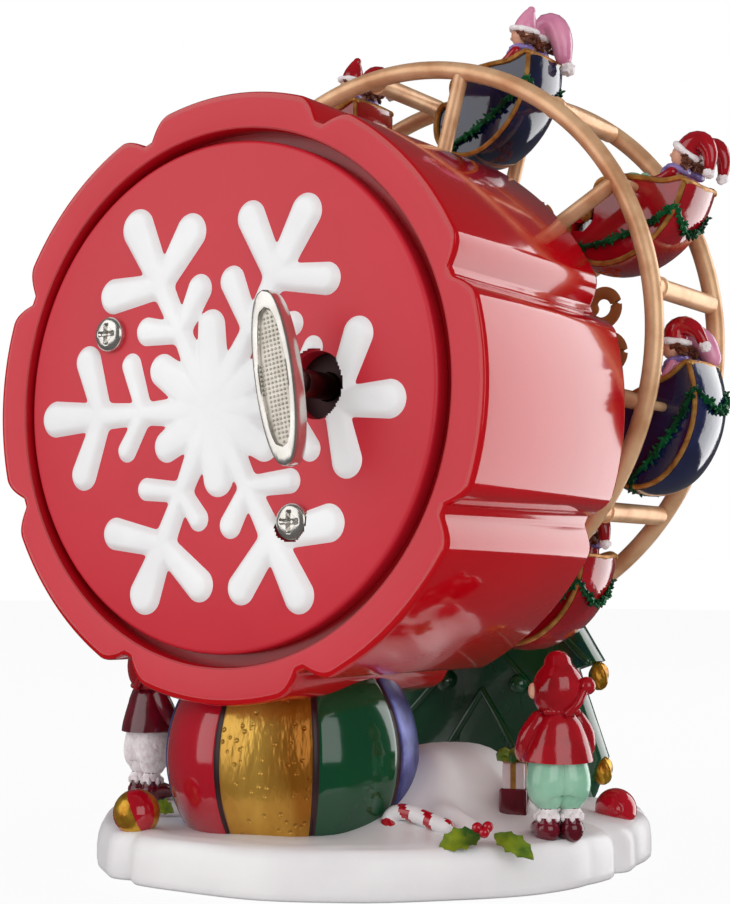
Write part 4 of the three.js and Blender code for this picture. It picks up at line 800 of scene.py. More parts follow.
ball_gold = bumpy_gold("ball_rough_gold")
ball_violet = glitter("ball_blue_glitter", linear(104, 108, 172), linear(52, 52, 116), size=1500, rough=0.35)
bm = bmesh.new()
columns = 240
gore_turn = 1.5
place = Matrix.Translation(ball_centre)
bmesh.ops.create_uvsphere(bm, u_segments=columns, v_segments=80, radius=ball_radius, matrix=place)
order = (3, 0, 1, 2)
for face in bm.faces:
    middle = face.calc_center_median() - ball_centre
    turn = math.degrees(math.atan2(middle.y, middle.x)) % 360
    from_seam = (turn - gore_turn + 22.5) % 45 - 22.5
    face.material_index = 4 if abs(from_seam) < 1.2 else order[int((turn - gore_turn) // 45) % 4]
for vert in bm.verts:
    out = vert.co - ball_centre
    turn = math.degrees(math.atan2(out.y, out.x)) % 360
    from_seam = abs((turn - gore_turn + 22.5) % 45 - 22.5)
    vert.co -= out.normalized() * 0.45 * max(0.0, 1 - from_seam / 2.0) ** 0.8
inside_drum = [vert for vert in bm.verts if math.hypot(vert.co.x, vert.co.z - drum_mid.z) < lobe_radius - 5
               and vert.co.y < drum_high.y - 4]
bmesh.ops.delete(bm, geom=inside_drum, context="VERTS")
bmesh.ops.bisect_plane(bm, geom=list(bm.verts) + list(bm.edges) + list(bm.faces), plane_co=(0, 0, ball_low.z),
                       plane_no=(0, 0, -1), clear_outer=True)
piece("bauble_stand", bm, (ball_red, ball_gold, ball_green, ball_violet, seam_dark), "figurine", "ornament_ball",
      sharp=60)
print("ball radius", ball_radius)

# %% [markdown]
# The snow base is a thick white slab with a soft shoulder, broad scallops round its edge and two banks of snow in
# front of the tree. It is one round net: rings of points, each moved to the outline and up to the snow's height.

# %% Snow base
_, base_high, _, base_size = measure("snow_base")
rim_height = 7.4
outline_angles = (90, 106, 122, 140, 160, 180, 200, 215, 230, 245, 258, 270)
outline_shares = (0.955, 0.97, 0.955, 0.94, 0.96, 0.95, 0.965, 1.02, 1.07, 1.07, 1.04, 1.05)
base_radius = 50.0
snow_top = 8.0
# Each bank of snow: place in X and Y, height, and spread in X and Y
banks = ((-15, -4.5, 19.0, 13.5, 17.0), (14, -4.5, 16.0, 11.0, 12.0))
# Soft folds that run down the bank: both ends and the height
folds = (((-12, 0), (-27, 12), 2.2), ((-20, -3), (-38, 3), 1.8), ((10, 2), (24, 12), 1.6),
         ((-23, 13.5), (-36, 17), 2.8))
# Creases of the outline: where, in degrees, and how deep
creases = ((72, 2.2), (175, 0.3), (189.5, 3.2), (222, 1.4), (244, 1.2), (20, 1.2), (340, 1.2))


def turn_apart(one, other):
    """How far one angle in degrees lies from another, from -180 to 180."""
    return (one - other + 180) % 360 - 180


def base_reach(angle):
    """Outline of the snow at an angle in degrees, alike left and right, with creased scallops."""
    turned_angle = angle % 360
    mirrored = (540 - turned_angle) % 360 if turned_angle < 90 or turned_angle > 270 else turned_angle
    step = max(i for i in range(len(outline_angles) - 1) if outline_angles[i] <= mirrored)
    along = (mirrored - outline_angles[step]) / (outline_angles[step + 1] - outline_angles[step])
    along = along * along * (3 - 2 * along)
    share = outline_shares[step] * (1 - along) + outline_shares[step + 1] * along
    dent = sum(depth * max(0.0, 1 - abs(turn_apart(turned_angle, crease)) / 6) ** 2 for crease, depth in creases)
    dent += 1.7 * max(0.0, 1 - (turn_apart(turned_angle, 36) / 30) ** 2)
    return base_radius * share - 0.15 - dent


def snow_height(x, y):
    """Height of the snow: two banks, low drifts and a fine lumpiness."""
    rise = max(high * math.exp(-((x - bx) / wide) ** 2 - ((y - by) / deep) ** 2)
               for bx, by, high, wide, deep in banks)
    for (x0, y0), (x1, y1), high in folds:
        along = Vector((x1 - x0, y1 - y0))
        from_start = Vector((x - x0, y - y0))
        part = from_start.dot(along) / along.length_squared
        apart = (from_start - along * part).length
        rise += high * math.exp(-(apart / 2.6) ** 2) * max(0.0, 1 - (2 * part - 1) ** 2) if 0 < part < 1 else 0
    drift = noise.noise(Vector((x * 0.06, y * 0.06, 4))) * 0.9
    ridge = noise.noise(Vector((x * 0.16 + y * 0.1, y * 0.05, 8))) * min(1.3, rise * 0.3)
    over = rise + drift + ridge - 0.5
    limit = base_high.z - snow_top
    return snow_top + (over / (1 + (over / limit) ** 4) ** 0.25 if over > 0 else over)


bm = bmesh.new()
made = bmesh.ops.create_circle(bm, cap_ends=False, segments=288, radius=base_radius)
ring = list({edge for vert in made["verts"] for edge in vert.link_edges})
foot_ring = ring
rows = [(0.985, 0.0), (0.996, 0.5), (1.0, 1.4), (0.999, 3.4), (0.996, 5.0), (0.99, 6.1), (0.98, 6.9), (0.967, 7.4)]
rows += [(share / 100, None) for share in (95, 92.5, 89, 85, 81, 77, 73, 69, 65, 61, 57, 53, 49, 45, 41, 37, 33, 29,
                                          25, 21, 17, 13, 9, 5, 2)]
for i, (share, height) in enumerate(rows):
    if i:
        grown = bmesh.ops.extrude_edge_only(bm, edges=ring)["geom"]
        verts = [item for item in grown if isinstance(item, bmesh.types.BMVert)]
        ring = [item for item in grown if isinstance(item, bmesh.types.BMEdge) and
                all(vert in verts for vert in item.verts)]
    else:
        verts = made["verts"]
    for vert in verts:
        turn = math.atan2(vert.co.y, vert.co.x)
        reach = base_reach(math.degrees(turn)) * share
        x, y = reach * math.cos(turn), reach * math.sin(turn)
        if height is None:
            wanted = snow_height(x, y)
        else:
            wanted = height * (1 + 0.06 * noise.noise(Vector((x * 0.05, y * 0.05, 1))))
        if height is None and share > 0.85:
            part = (0.967 - share) / 0.117
            wanted = rim_height * (1 - part) + snow_height(x, y) * part + 0.35 * math.sin(math.pi * min(1, part))
        if height is not None and height > 0.6:
            reach += 0.2 * noise.noise(Vector((x * 0.12, y * 0.12, height * 0.3)))
            x, y = reach * math.cos(turn), reach * math.sin(turn)
        vert.co = Vector((x, y, min(max(wanted, 0), base_high.z)))
bmesh.ops.contextual_create(bm, geom=ring)
bmesh.ops.contextual_create(bm, geom=foot_ring)
piece("snow_ground", bm, snow_white, "figurine", "snow_base", sharp=60)
print("base size", [round(v, 1) for v in base_size])

# %% [markdown]
# The gondolas are eight little sleighs, all from one mould and painted red or dark blue in turn. A sleigh is two
# side panels with a curled nose, and between them one long sheet that is the back, the bottom and the nose. The
# sheet is a ring section pushed along the outline. Gold lines lie on the edges: rubbed paint on a raised line,
# so a thin bar. The garland of pine is a thin bar with many small tufts stuck on it.

# %% Finishes of the sleighs and riders
enamel_red = paint_finish("sleigh_red_enamel", linear(170, 12, 30), linear(140, 6, 20), rough=0.1, coat=0.8,
                          patch=120, dent=0.35, grain=230, dent_size=0.0004)
enamel_blue = paint_finish("sleigh_blue_enamel", linear(28, 34, 74), linear(16, 18, 46), rough=0.1, coat=0.9,
                           patch=120, dent=0.35, grain=230, dent_size=0.0004)
trim_gold = paint_finish("trim_painted_gold", linear(214, 158, 84), linear(166, 108, 48), rough=0.35, metal=0.6,
                         patch=500, dent=0.4, grain=1100, dent_size=0.00015)
pine_green = glitter("garland_green_glitter", linear(20, 112, 62), linear(6, 62, 36), size=2400)
fur_white = paint_finish("fur_white", linear(244, 238, 238), linear(226, 212, 216), rough=0.7, patch=900, dent=0.9,
                         grain=1300, dent_size=0.0003)
cloth_red = paint_finish("cloth_red", linear(172, 12, 28), linear(140, 6, 18), rough=0.14, coat=0.6, patch=200,
                         dent=0.4, grain=420, dent_size=0.0003)
cloth_pink = paint_finish("cloth_pink", linear(226, 150, 178), linear(206, 124, 158), rough=0.2, coat=0.5, patch=200,
                          dent=0.4, grain=420, dent_size=0.0003)
cloth_lilac = paint_finish("cloth_lilac", linear(158, 138, 198), linear(128, 108, 176), rough=0.25, coat=0.4,
                           patch=260, dent=0.4, grain=420, dent_size=0.0003)
cloth_mint = paint_finish("cloth_mint", linear(160, 205, 178), linear(132, 184, 156), rough=0.18, coat=0.5,
                          patch=160, dent=0.3, grain=420, dent_size=0.0003)
cloth_wine = paint_finish("cloth_burgundy", linear(112, 14, 34), linear(84, 8, 24), rough=0.16, coat=0.6, patch=200,
                          dent=0.4, grain=420, dent_size=0.0003)
skin = paint_finish("skin_peach", linear(236, 186, 158), linear(222, 160, 132), rough=0.35, coat=0.2, patch=300,
                    dent=0.2, grain=900)
hair_brown = paint_finish("hair_brown", linear(120, 62, 36), linear(84, 38, 22), rough=0.4, coat=0.2, patch=700,
                          dent=0.8, grain=900, dent_size=0.0004)

# %% [markdown]
# Sheets bent along a line and strands of pine come back in each sleigh, so each of them is a helper.

# %% Tools for the sleighs
def sheet(bm, points, half_width, half_thick, bulge, tone=0, across=8):
    """A strip pushed along a path in X and Z: flat inside, and bulged along its middle outside."""
    ring = [Vector((2 * i / across - 1, -1 - bulge * (1 - (2 * i / across - 1) ** 2), 0)) for i in range(across + 1)]
    ring += [Vector((1 - 2 * i / across, 1, 0)) for i in range(across + 1)]
    old = set(bm.faces)
    verts = bmesh.ops.create_circle(bm, cap_ends=False, segments=len(ring), radius=1.0)["verts"]
    edges = list({edge for vert in verts for edge in vert.link_edges})
    for vert, spot in zip(verts, ring):
        vert.co = spot
    bmesh.ops.contextual_create(bm, geom=edges)
    before = Matrix.Identity(4)
    for i, point in enumerate(points):
        ahead, behind = points[min(i + 1, len(points) - 1)], points[max(i - 1, 0)]
        along = Vector((ahead[0] - behind[0], 0, ahead[1] - behind[1]))
        place = ring_place(Vector((point[0], 0, point[1])), along, Vector((0, 1, 0)), half_width, half_thick)
        if i:
            grown = bmesh.ops.extrude_edge_only(bm, edges=edges)["geom"]
            verts = [item for item in grown if isinstance(item, bmesh.types.BMVert)]
            edges = [item for item in grown if isinstance(item, bmesh.types.BMEdge) and
                     all(vert in verts for vert in item.verts)]
        bmesh.ops.transform(bm, matrix=place @ before.inverted(), verts=verts)
        before = place
    bmesh.ops.contextual_create(bm, geom=edges)
    return paint(bm, old, tone)


def tufts(bm, points, reach, size, count, seed, tone=0):
    """Small tufts stuck round a path."""
    dice = random.Random(seed)
    old = set(bm.faces)
    for _ in range(count):
        spot = dice.random() * (len(points) - 1)
        i = min(int(spot), len(points) - 2)
        here = Vector(points[i]).lerp(Vector(points[i + 1]), spot - i)
        out = Vector((dice.gauss(0, 1), dice.gauss(0, 1), dice.gauss(0, 1))).normalized()
        turn = out.to_track_quat("Z", "X").to_matrix().to_4x4()
        place = Matrix.Translation(here + out * reach * dice.uniform(0.5, 1.0)) @ turn
        place = place @ Matrix.Diagonal((size * 0.55, size * 0.55, size * dice.uniform(0.9, 1.4), 1))
        bmesh.ops.create_icosphere(bm, subdivisions=1, radius=1.0, matrix=place)
    return paint(bm, old, tone)


def pine_strand(bm, points, reach, count, seed, tone=0):
    """A garland: a thin bar with tufts round it."""
    curve = [row[:3] for row in smooth_path([(*point, reach * 0.6) for point in points], 6)]
    bar(bm, [(*point, reach * 0.62) for point in curve[::2]], tone, 8, 1)
    tufts(bm, curve, reach, reach * 0.72, count, seed, tone)


def pom(bm, centre, radius, seed, tone):
    """A fluffy pompom: a ball with a bumpy skin."""
    dice = random.Random(seed)
    faces = ball(bm, centre, radius * 0.86, tone, 3)
    for vert in {vert for face in faces for vert in face.verts}:
        out = (vert.co - Vector(centre)).normalized()
        vert.co += out * radius * 0.3 * noise.noise(vert.co * 2.4 + Vector((seed, 0, 0)))
    return faces


def fur_band(bm, centre, axis, radius, thick, seed, tone, squash=1.0, count=18):
    """A ring of fur round a cap: a row of small lumps on a ring."""
    dice = random.Random(seed)
    axis = Vector(axis).normalized()
    out = axis.orthogonal().normalized()
    side = axis.cross(out)
    rows = []
    for i in range(count):
        turn = math.tau * i / count
        here = Vector(centre) + out * radius * math.cos(turn) + side * radius * squash * math.sin(turn)
        rows.append((*here, thick * dice.uniform(0.85, 1.2), thick * dice.uniform(0.85, 1.2)))
    bar(bm, rows, tone, 8, 2, axis, closed=True)
    for row in rows:
        ball(bm, row[:3], thick * dice.uniform(0.7, 1.05), tone, 1)


# %% [markdown]
# The real sleighs look like casts from one mould with painted gold edges. So one mould is built about its pin and
# copied eight times, which is quicker than eight builds, and only the tilt and the place differ.

# %% Sleighs
sleigh_width = 12.5
# The sleigh's side in X and Z about its pin: nose at +X
back_line = ((-10.0, 4.8), (-9.8, 1.6), (-9.1, -1.5), (-7.9, -4.3), (-6.1, -7.0), (-3.5, -9.6), (-0.5, -11.5),
             (2.5, -12.3), (5.6, -12.0), (8.2, -10.4), (9.6, -8.2), (9.9, -5.7), (9.5, -3.7), (8.5, -2.8),
             (7.4, -3.2), (6.8, -4.7))
curl_line = ((7.5, -6.0), (8.8, -6.1), (8.6, -7.6), (6.6, -7.3))
top_line = ((5.3, -5.2), (5.8, -1.9), (6.2, 0.6), (5.5, 2.1), (2.3, 3.3), (-2.0, 3.9), (-6.0, 4.1), (-9.2, 5.2))
sleigh_tilts = (-17, 0, 4, -3, 3, 0, -6, 18)
sleigh_pin_places = ((-1, 2), (0, 1.2), (0.9, 0.1), (0, 1.2), (0, 1.2), (0, 1.2), (-2.2, -1.8), (-3.1, -0.6))


def sleigh_place(i):
    """Where the mould's origin lands: the pin holds each sleigh at its own spot, and the sleigh hangs tilted."""
    pin = measure(f"pivot_pin_{i}")[2]
    hold_x, hold_z = sleigh_pin_places[i - 1]
    hung = Matrix.Translation((pin.x, measure(f"sleigh_{i}")[2].y, pin.z))
    tilt = Matrix.Rotation(math.radians(sleigh_tilts[i - 1]), 4, "Y")
    return hung @ tilt @ Matrix.Translation((-hold_x, 0, -hold_z))


def sleigh_mould():
    bm = bmesh.new()
    half = sleigh_width / 2
    side_outline = smooth_path(back_line, 3) + list(curl_line) + smooth_path(top_line, 3)
    for face_y in (half - 0.25, -half + 1.35):
        plate(bm, side_outline, face_y, 1.1)
    sheet(bm, smooth_path(back_line, 3), half - 0.3, 0.55, 1.6)
    front = smooth_path(((5.0, -8.4), (4.6, -5.2), (5.1, -1.9), (5.5, 0.6), (4.9, 1.7)), 3)
    sheet(bm, front[::-1], half - 0.3, 0.5, 0.3)
    floor_line = smooth_path(((-9.3, 1.0), (-6.5, -0.6), (-2.0, -1.2), (2.0, -1.0), (5.0, 0.0)), 2)
    sheet(bm, floor_line, half - 0.6, 0.4, 0.0)
    rope = 0.46
    for side in (-1, 1):
        y = side * (half - 0.12)
        edge = [(x, y, z, rope) for x, z in smooth_path(back_line[:11], 2)]
        bar(bm, edge, 1, 8, 1, (0, 1, 0))
        spiral = [(x, y, z, wide, 0.5) for x, z, wide in ((9.4, -8.6, 0.5), (9.6, -6.0, 0.7), (9.1, -3.6, 0.85),
                                                          (7.9, -2.4, 0.9), (6.6, -3.0, 0.85), (6.3, -4.4, 0.75))]
        bar(bm, spiral, 1, 8, 3, (0, 1, 0))
        ball(bm, (6.9, y, -4.7), (1.05, 0.7, 1.05), 1, 2)
        rim = [(x, y, z, 0.5 if x < 2 else 0.62) for x, z in top_line[1:]] + [(-10.3, y, 4.7, 0.5)]
        bar(bm, rim, 1, 8, 3, (0, 1, 0))
        strand = [(-9.4, side * (half + 0.15), 0.2), (-7.0, side * (half + 0.5), -2.4),
                  (-3.6, side * (half + 0.55), -5.1), (0.6, side * (half + 0.5), -7.8),
                  (4.4, side * (half + 0.4), -9.6), (7.6, side * (half + 0.1), -10.7)]
        pine_strand(bm, strand, 0.72, 120, 10 + side, 2)
    bar(bm, [(-10.1, -half, 4.9, 0.55), (-11.0, 0, 4.6, 0.55), (-10.1, half, 4.9, 0.55)], 1, 8, 3, (1, 0, 0))
    bar(bm, [(5.6, -half, 2.0, 0.5), (5.9, 0, 1.9, 0.5), (5.6, half, 2.0, 0.5)], 1, 8, 3, (1, 0, 0))
    swag = [(-9.7, half, 0.3), (-10.6, half * 0.55, -2.4), (-10.5, 0, -3.6), (-10.6, -half * 0.55, -2.4),
            (-9.7, -half, 0.3)]
    pine_strand(bm, swag, 0.72, 110, 15, 2)
    pine_strand(bm, [(6.6, -half, -11.6), (7.4, 0, -12.0), (6.6, half, -11.6)], 0.8, 80, 16, 2)
    bmesh.ops.remove_doubles(bm, verts=bm.verts, dist=1e-4)
    return bm


mould = sleigh_mould()
for i in range(1, wheel_count + 1):
    bm = mould.copy()
    bmesh.ops.transform(bm, matrix=sleigh_place(i), verts=bm.verts)
    enamel = enamel_red if i % 2 else enamel_blue
    made = piece(f"sleigh_body_{i}", bm, (enamel, trim_gold, pine_green), f"gondola_{i}", f"sleigh_{i}", sharp=42,
                 weld=False)
mould.free()
print("one sleigh has", len(made.data.polygons), "faces")

# %% [markdown]
# Two small dolls sit in each sleigh, their hats drooping over the back. The cast is coarse, so a doll is a
# torso, a head, an arm, a hat with a fur band, and a few lumps of scarf and blanket.

# %% Riders
red, pink, lilac, mint, white, skin_tone, hair = range(7)
rider_paints = (cloth_red, cloth_pink, cloth_lilac, cloth_mint, fur_white, skin, hair_brown)
# For each gondola: coat, hat and droop of the near and the far rider
rider_looks = {
    1: ((red, red, "back"), (pink, red, "back")), 2: ((red, pink, "up"), (pink, pink, "drape")),
    3: ((red, red, "up"), (pink, red, "back")), 4: ((red, red, "back"), (pink, pink, "up")),
    5: ((pink, red, "up"), (red, red, "back")), 6: ((red, pink, "back"), (pink, red, "up")),
    7: ((red, red, "back"), (red, red, "up")), 8: ((pink, red, "back"), (pink, pink, "hood")),
}


def doll(bm, y, coat, hat, droop, seed):
    """One rider, seated and looking to +X."""
    bar(bm, [(-5.6, y, -0.6, 2.4), (-5.9, y, 1.6, 2.5), (-6.3, y, 4.6, 2.3), (-6.8, y, 6.6, 1.5)], coat, 14, 3)
    side = math.copysign(1, y)
    bar(bm, [(-6.6, y + side * 1.9, 5.9, 1.0), (-4.6, y + side * 2.3, 4.0, 0.95), (-2.4, y + side * 2.0, 3.7, 0.8)],
        coat, 10, 3)
    ball(bm, (-1.9, y + side * 1.9, 3.8), 0.8, skin_tone, 2)
    bar(bm, [(-5.4, y, 6.8, 1.9, 0.8), (-6.6, y, 6.9, 2.2, 0.9), (-8.2, y, 6.7, 1.7, 0.8)], lilac, 10, 3, (0, 1, 0))
    ball(bm, (-4.5, y, 5.6), (0.9, 1.1, 1.6), lilac, 2)
    ball(bm, (-7.2, y, 9.2), (2.3, 2.2, 2.4), skin_tone, 3)
    ball(bm, (-4.9, y, 9.0), (0.5, 0.4, 0.4), skin_tone, 2)
    hair_line = [(-8.6, y - 1.6, 7.6), (-9.2, y, 8.6), (-8.6, y + 1.6, 7.6), (-8.0, y + 2.1, 9.4)]
    tufts(bm, hair_line, 0.5, 0.9, 40, seed, hair)
    if droop == "up":
        rows = [(-7.5, y, 10.2, 2.25), (-7.9, y, 11.6, 1.9), (-8.4, y, 12.9, 1.25), (-8.8, y, 13.6, 0.8)]
        bar(bm, rows, hat, 14, 3, (0, 1, 0))
        fur_band(bm, (-7.4, y, 10.0), (-0.25, 0, 1), 2.35, 0.6, seed, white)
    elif droop == "back":
        rows = [(-7.6, y, 10.2, 2.3), (-8.6, y, 11.7, 2.2), (-10.2, y, 11.9, 1.8), (-11.8, y, 10.4, 1.35),
                (-12.4, y, 8.2, 0.95)]
        bar(bm, rows, hat, 14, 3, (0, 1, 0))
        fur_band(bm, (-7.5, y, 10.0), (-0.45, 0, 1), 2.4, 0.62, seed, white)
        pom(bm, (-12.5, y, 7.2), 1.15, seed, white)
    elif droop == "drape":
        rows = [(-7.6, y, 10.4, 2.2), (-9.0, y, 12.2, 2.4), (-10.9, y, 11.4, 2.3), (-12.0, y, 8.6, 2.1),
                (-12.4, y, 5.8, 1.6)]
        bar(bm, rows, hat, 14, 3, (0, 1, 0))
        fur_band(bm, (-7.4, y, 10.4), (-0.5, 0, 1), 2.2, 0.6, seed, white)
        pom(bm, (-12.9, y - 0.6, 3.6), 1.6, seed, white)
    else:
        rows = [(-7.4, y, 10.4, 2.3), (-9.0, y, 10.8, 2.4), (-10.4, y, 9.0, 2.2), (-10.9, y, 6.4, 1.7)]
        bar(bm, rows, hat, 14, 3, (0, 1, 0))


def make_riders(i):
    bm = bmesh.new()
    near, far = rider_looks[i]
    doll(bm, 2.9, *near, i * 7)
    doll(bm, -2.9, *far, i * 7 + 3)
    ball(bm, (-1.4, 0, 1.6), (6.2, 5.0, 2.2), pink if i in (1, 8, 4) else red, 3)
    ball(bm, (1.2, 2.6, 3.6), (2.2, 1.5, 1.3), mint, 3)
    ball(bm, (-0.6, 2.4, 4.4), (1.0, 0.9, 0.9), mint, 2)
    bmesh.ops.transform(bm, matrix=sleigh_place(i), verts=bm.verts)
    return piece(f"rider_pair_{i}", bm, rider_paints, f"gondola_{i}", f"riders_{i}", sharp=60)


for i in range(1, wheel_count + 1):
    made = make_riders(i)
print("a pair of riders has", len(made.data.polygons), "faces")

# %% [markdown]
# In front of the drum stands a Christmas tree of flat cast resin, green and glossy, with ridges that run out to
# its tips, and small baubles at the tips. The plate follows an outline given as shares of a set half width and
# height, and the ridges are bars laid on its back, sunk halfway. The tip baubles are twisted gold buds.

# %% Finishes of the ground pieces
tree_green = paint_finish("tree_green_gloss", linear(10, 72, 40), linear(6, 54, 30), rough=0.14, coat=0.7, patch=60,
                          dent=0.35, grain=130, dent_size=0.0006)
leaf_green = paint_finish("holly_leaf_green", linear(140, 160, 30), linear(38, 84, 26), rough=0.3, coat=0.4,
                          patch=260, dent=0.4, grain=900, dent_size=0.0002)
berry_red = paint_finish("berry_red", linear(186, 16, 36), linear(160, 8, 26), rough=0.1, coat=0.7, patch=90)
bauble_gold = paint_finish("bauble_leaf_gold", linear(226, 178, 62), linear(176, 116, 30), rough=0.28, metal=0.75,
                           patch=420, dent=0.5, grain=700, dent_size=0.0003)
gift_pink = paint_finish("gift_pale_pink", linear(226, 206, 208), linear(210, 182, 188), rough=0.25, coat=0.4)

# %% [markdown]
# The tree is a flat plate. Its outline is given for one side and mirrored, and the ridges on its back are bars.

# %% Tree
tree_high = measure("tree_stand")[1]
tree_half = 25.3
tree_foot, tree_top = 5.4, 103.0
tree_back = tree_high.y
# Width share and height share, from the foot up
tree_outline = ((0.84, 0.0), (0.9, 0.03), (1.0, 0.1), (0.76, 0.265), (0.97, 0.284), (0.5, 0.47), (0.69, 0.487),
                (0.31, 0.66), (0.45, 0.675), (0.18, 0.82), (0.26, 0.832), (0.0, 1.0))
tree_plate_back = -41.6
tree_plate_depth = 5.0


def tree_point(share, side=1):
    return Vector((side * share[0] * tree_half, 0, tree_foot + share[1] * (tree_top - tree_foot)))


bm = bmesh.new()
right_side = [tree_point(share) for share in tree_outline]
left_side = [tree_point(share, -1) for share in tree_outline[-2::-1]]
plate(bm, [(p.x, p.z) for p in right_side + left_side], tree_plate_back, tree_plate_depth, round_edge=0.7)
ridge_shares = ((0.5, (0.97, 0.284)), (0.34, (1.0, 0.1)), (0.62, (0.69, 0.487)), (0.22, (0.62, 0.0)),
                (0.78, (0.45, 0.675)))
for top_share, tip in ridge_shares:
    for side in (-1, 1):
        top = tree_point((0, top_share))
        end = tree_point((tip[0] * 0.93, tip[1]), side)
        ridge_y = tree_plate_back - 0.1
        rows = [(*Vector((top.x, ridge_y, top.z)), 0.7), (*Vector((end.x, ridge_y, end.z)), 0.9)]
        bar(bm, rows, 0, 10, 1, (0, 1, 0))
        for part in (0.35, 0.7):
            here = top.lerp(end, part)
            low_end = here + Vector((side * 1.0, 0, -13))
            low_end.z = max(low_end.z, tree_foot + 1)
            bar(bm, [(here.x, tree_plate_back - 0.45, here.z, 0.6), (low_end.x, tree_plate_back - 0.6, low_end.z, 0.5)],
                0, 8, 1, (0, 1, 0))
boss_bore = 2.35
turned(bm, [(boss_bore, tree_plate_back - 3), (boss_bore, tree_back), (5.4, tree_back), (6, tree_back - 0.6),
            (6, tree_plate_back)], (0, 0, wheel_z), steps=48)
for side in (-1, 1):
    at = tree_point((0.33, 0.235), side)
    ball(bm, (at.x, tree_plate_back + 0.3, at.z), 2.0, 0, 3)
piece("tree_plate", bm, tree_green, "figurine", "tree_stand", sharp=40)
print("the tree is", round(tree_top - tree_foot, 1), "mm tall")

for height in ("upper", "lower"):
    for side in ("right", "left"):
        node = f"gold_bauble_{height}_{side}"
        low, high, mid, size = measure(node)
        bm = bmesh.new()
        half = size.z / 2
        rows = [(mid.x, mid.y, mid.z + half * t, size.x / 2 * math.sqrt(max(0.03, 1 - t * t)) * 0.96)
                for t in (-0.97, -0.8, -0.5, -0.15, 0.2, 0.5, 0.8, 0.97)]
        bar(bm, rows, 0, 24, 3, round_ends=False)
        for vert in bm.verts:
            out = Vector((vert.co.x - mid.x, vert.co.y - mid.y))
            wave = math.sin(5 * math.atan2(out.y, out.x) + (vert.co.z - mid.z) * 1.4)
            vert.co.x -= out.x * 0.09 * (1 - wave)
            vert.co.y -= out.y * 0.09 * (1 - wave)
        piece(f"twisted_bud_{height}_{side}", bm, bauble_gold, "figurine", node, sharp=70)

# %% [markdown]
# Two elves stand on the snow beside the drum. Each is cast as one piece: boots, stockings, loose trousers, a jacket
# like a bell, a fat cap whose tail ends in a bauble. All are bars with swelling widths and balls pushed together.

# %% Elves
boot_tone, stocking_tone, trouser_tone, jacket_tone, ear_tone, cap_tone = range(6)
elf_paints = (cloth_wine, fur_white, cloth_mint, cloth_red, skin, cloth_red)
left_elf_paints = (cloth_wine, fur_white, fur_white, cloth_wine, skin, cloth_red)


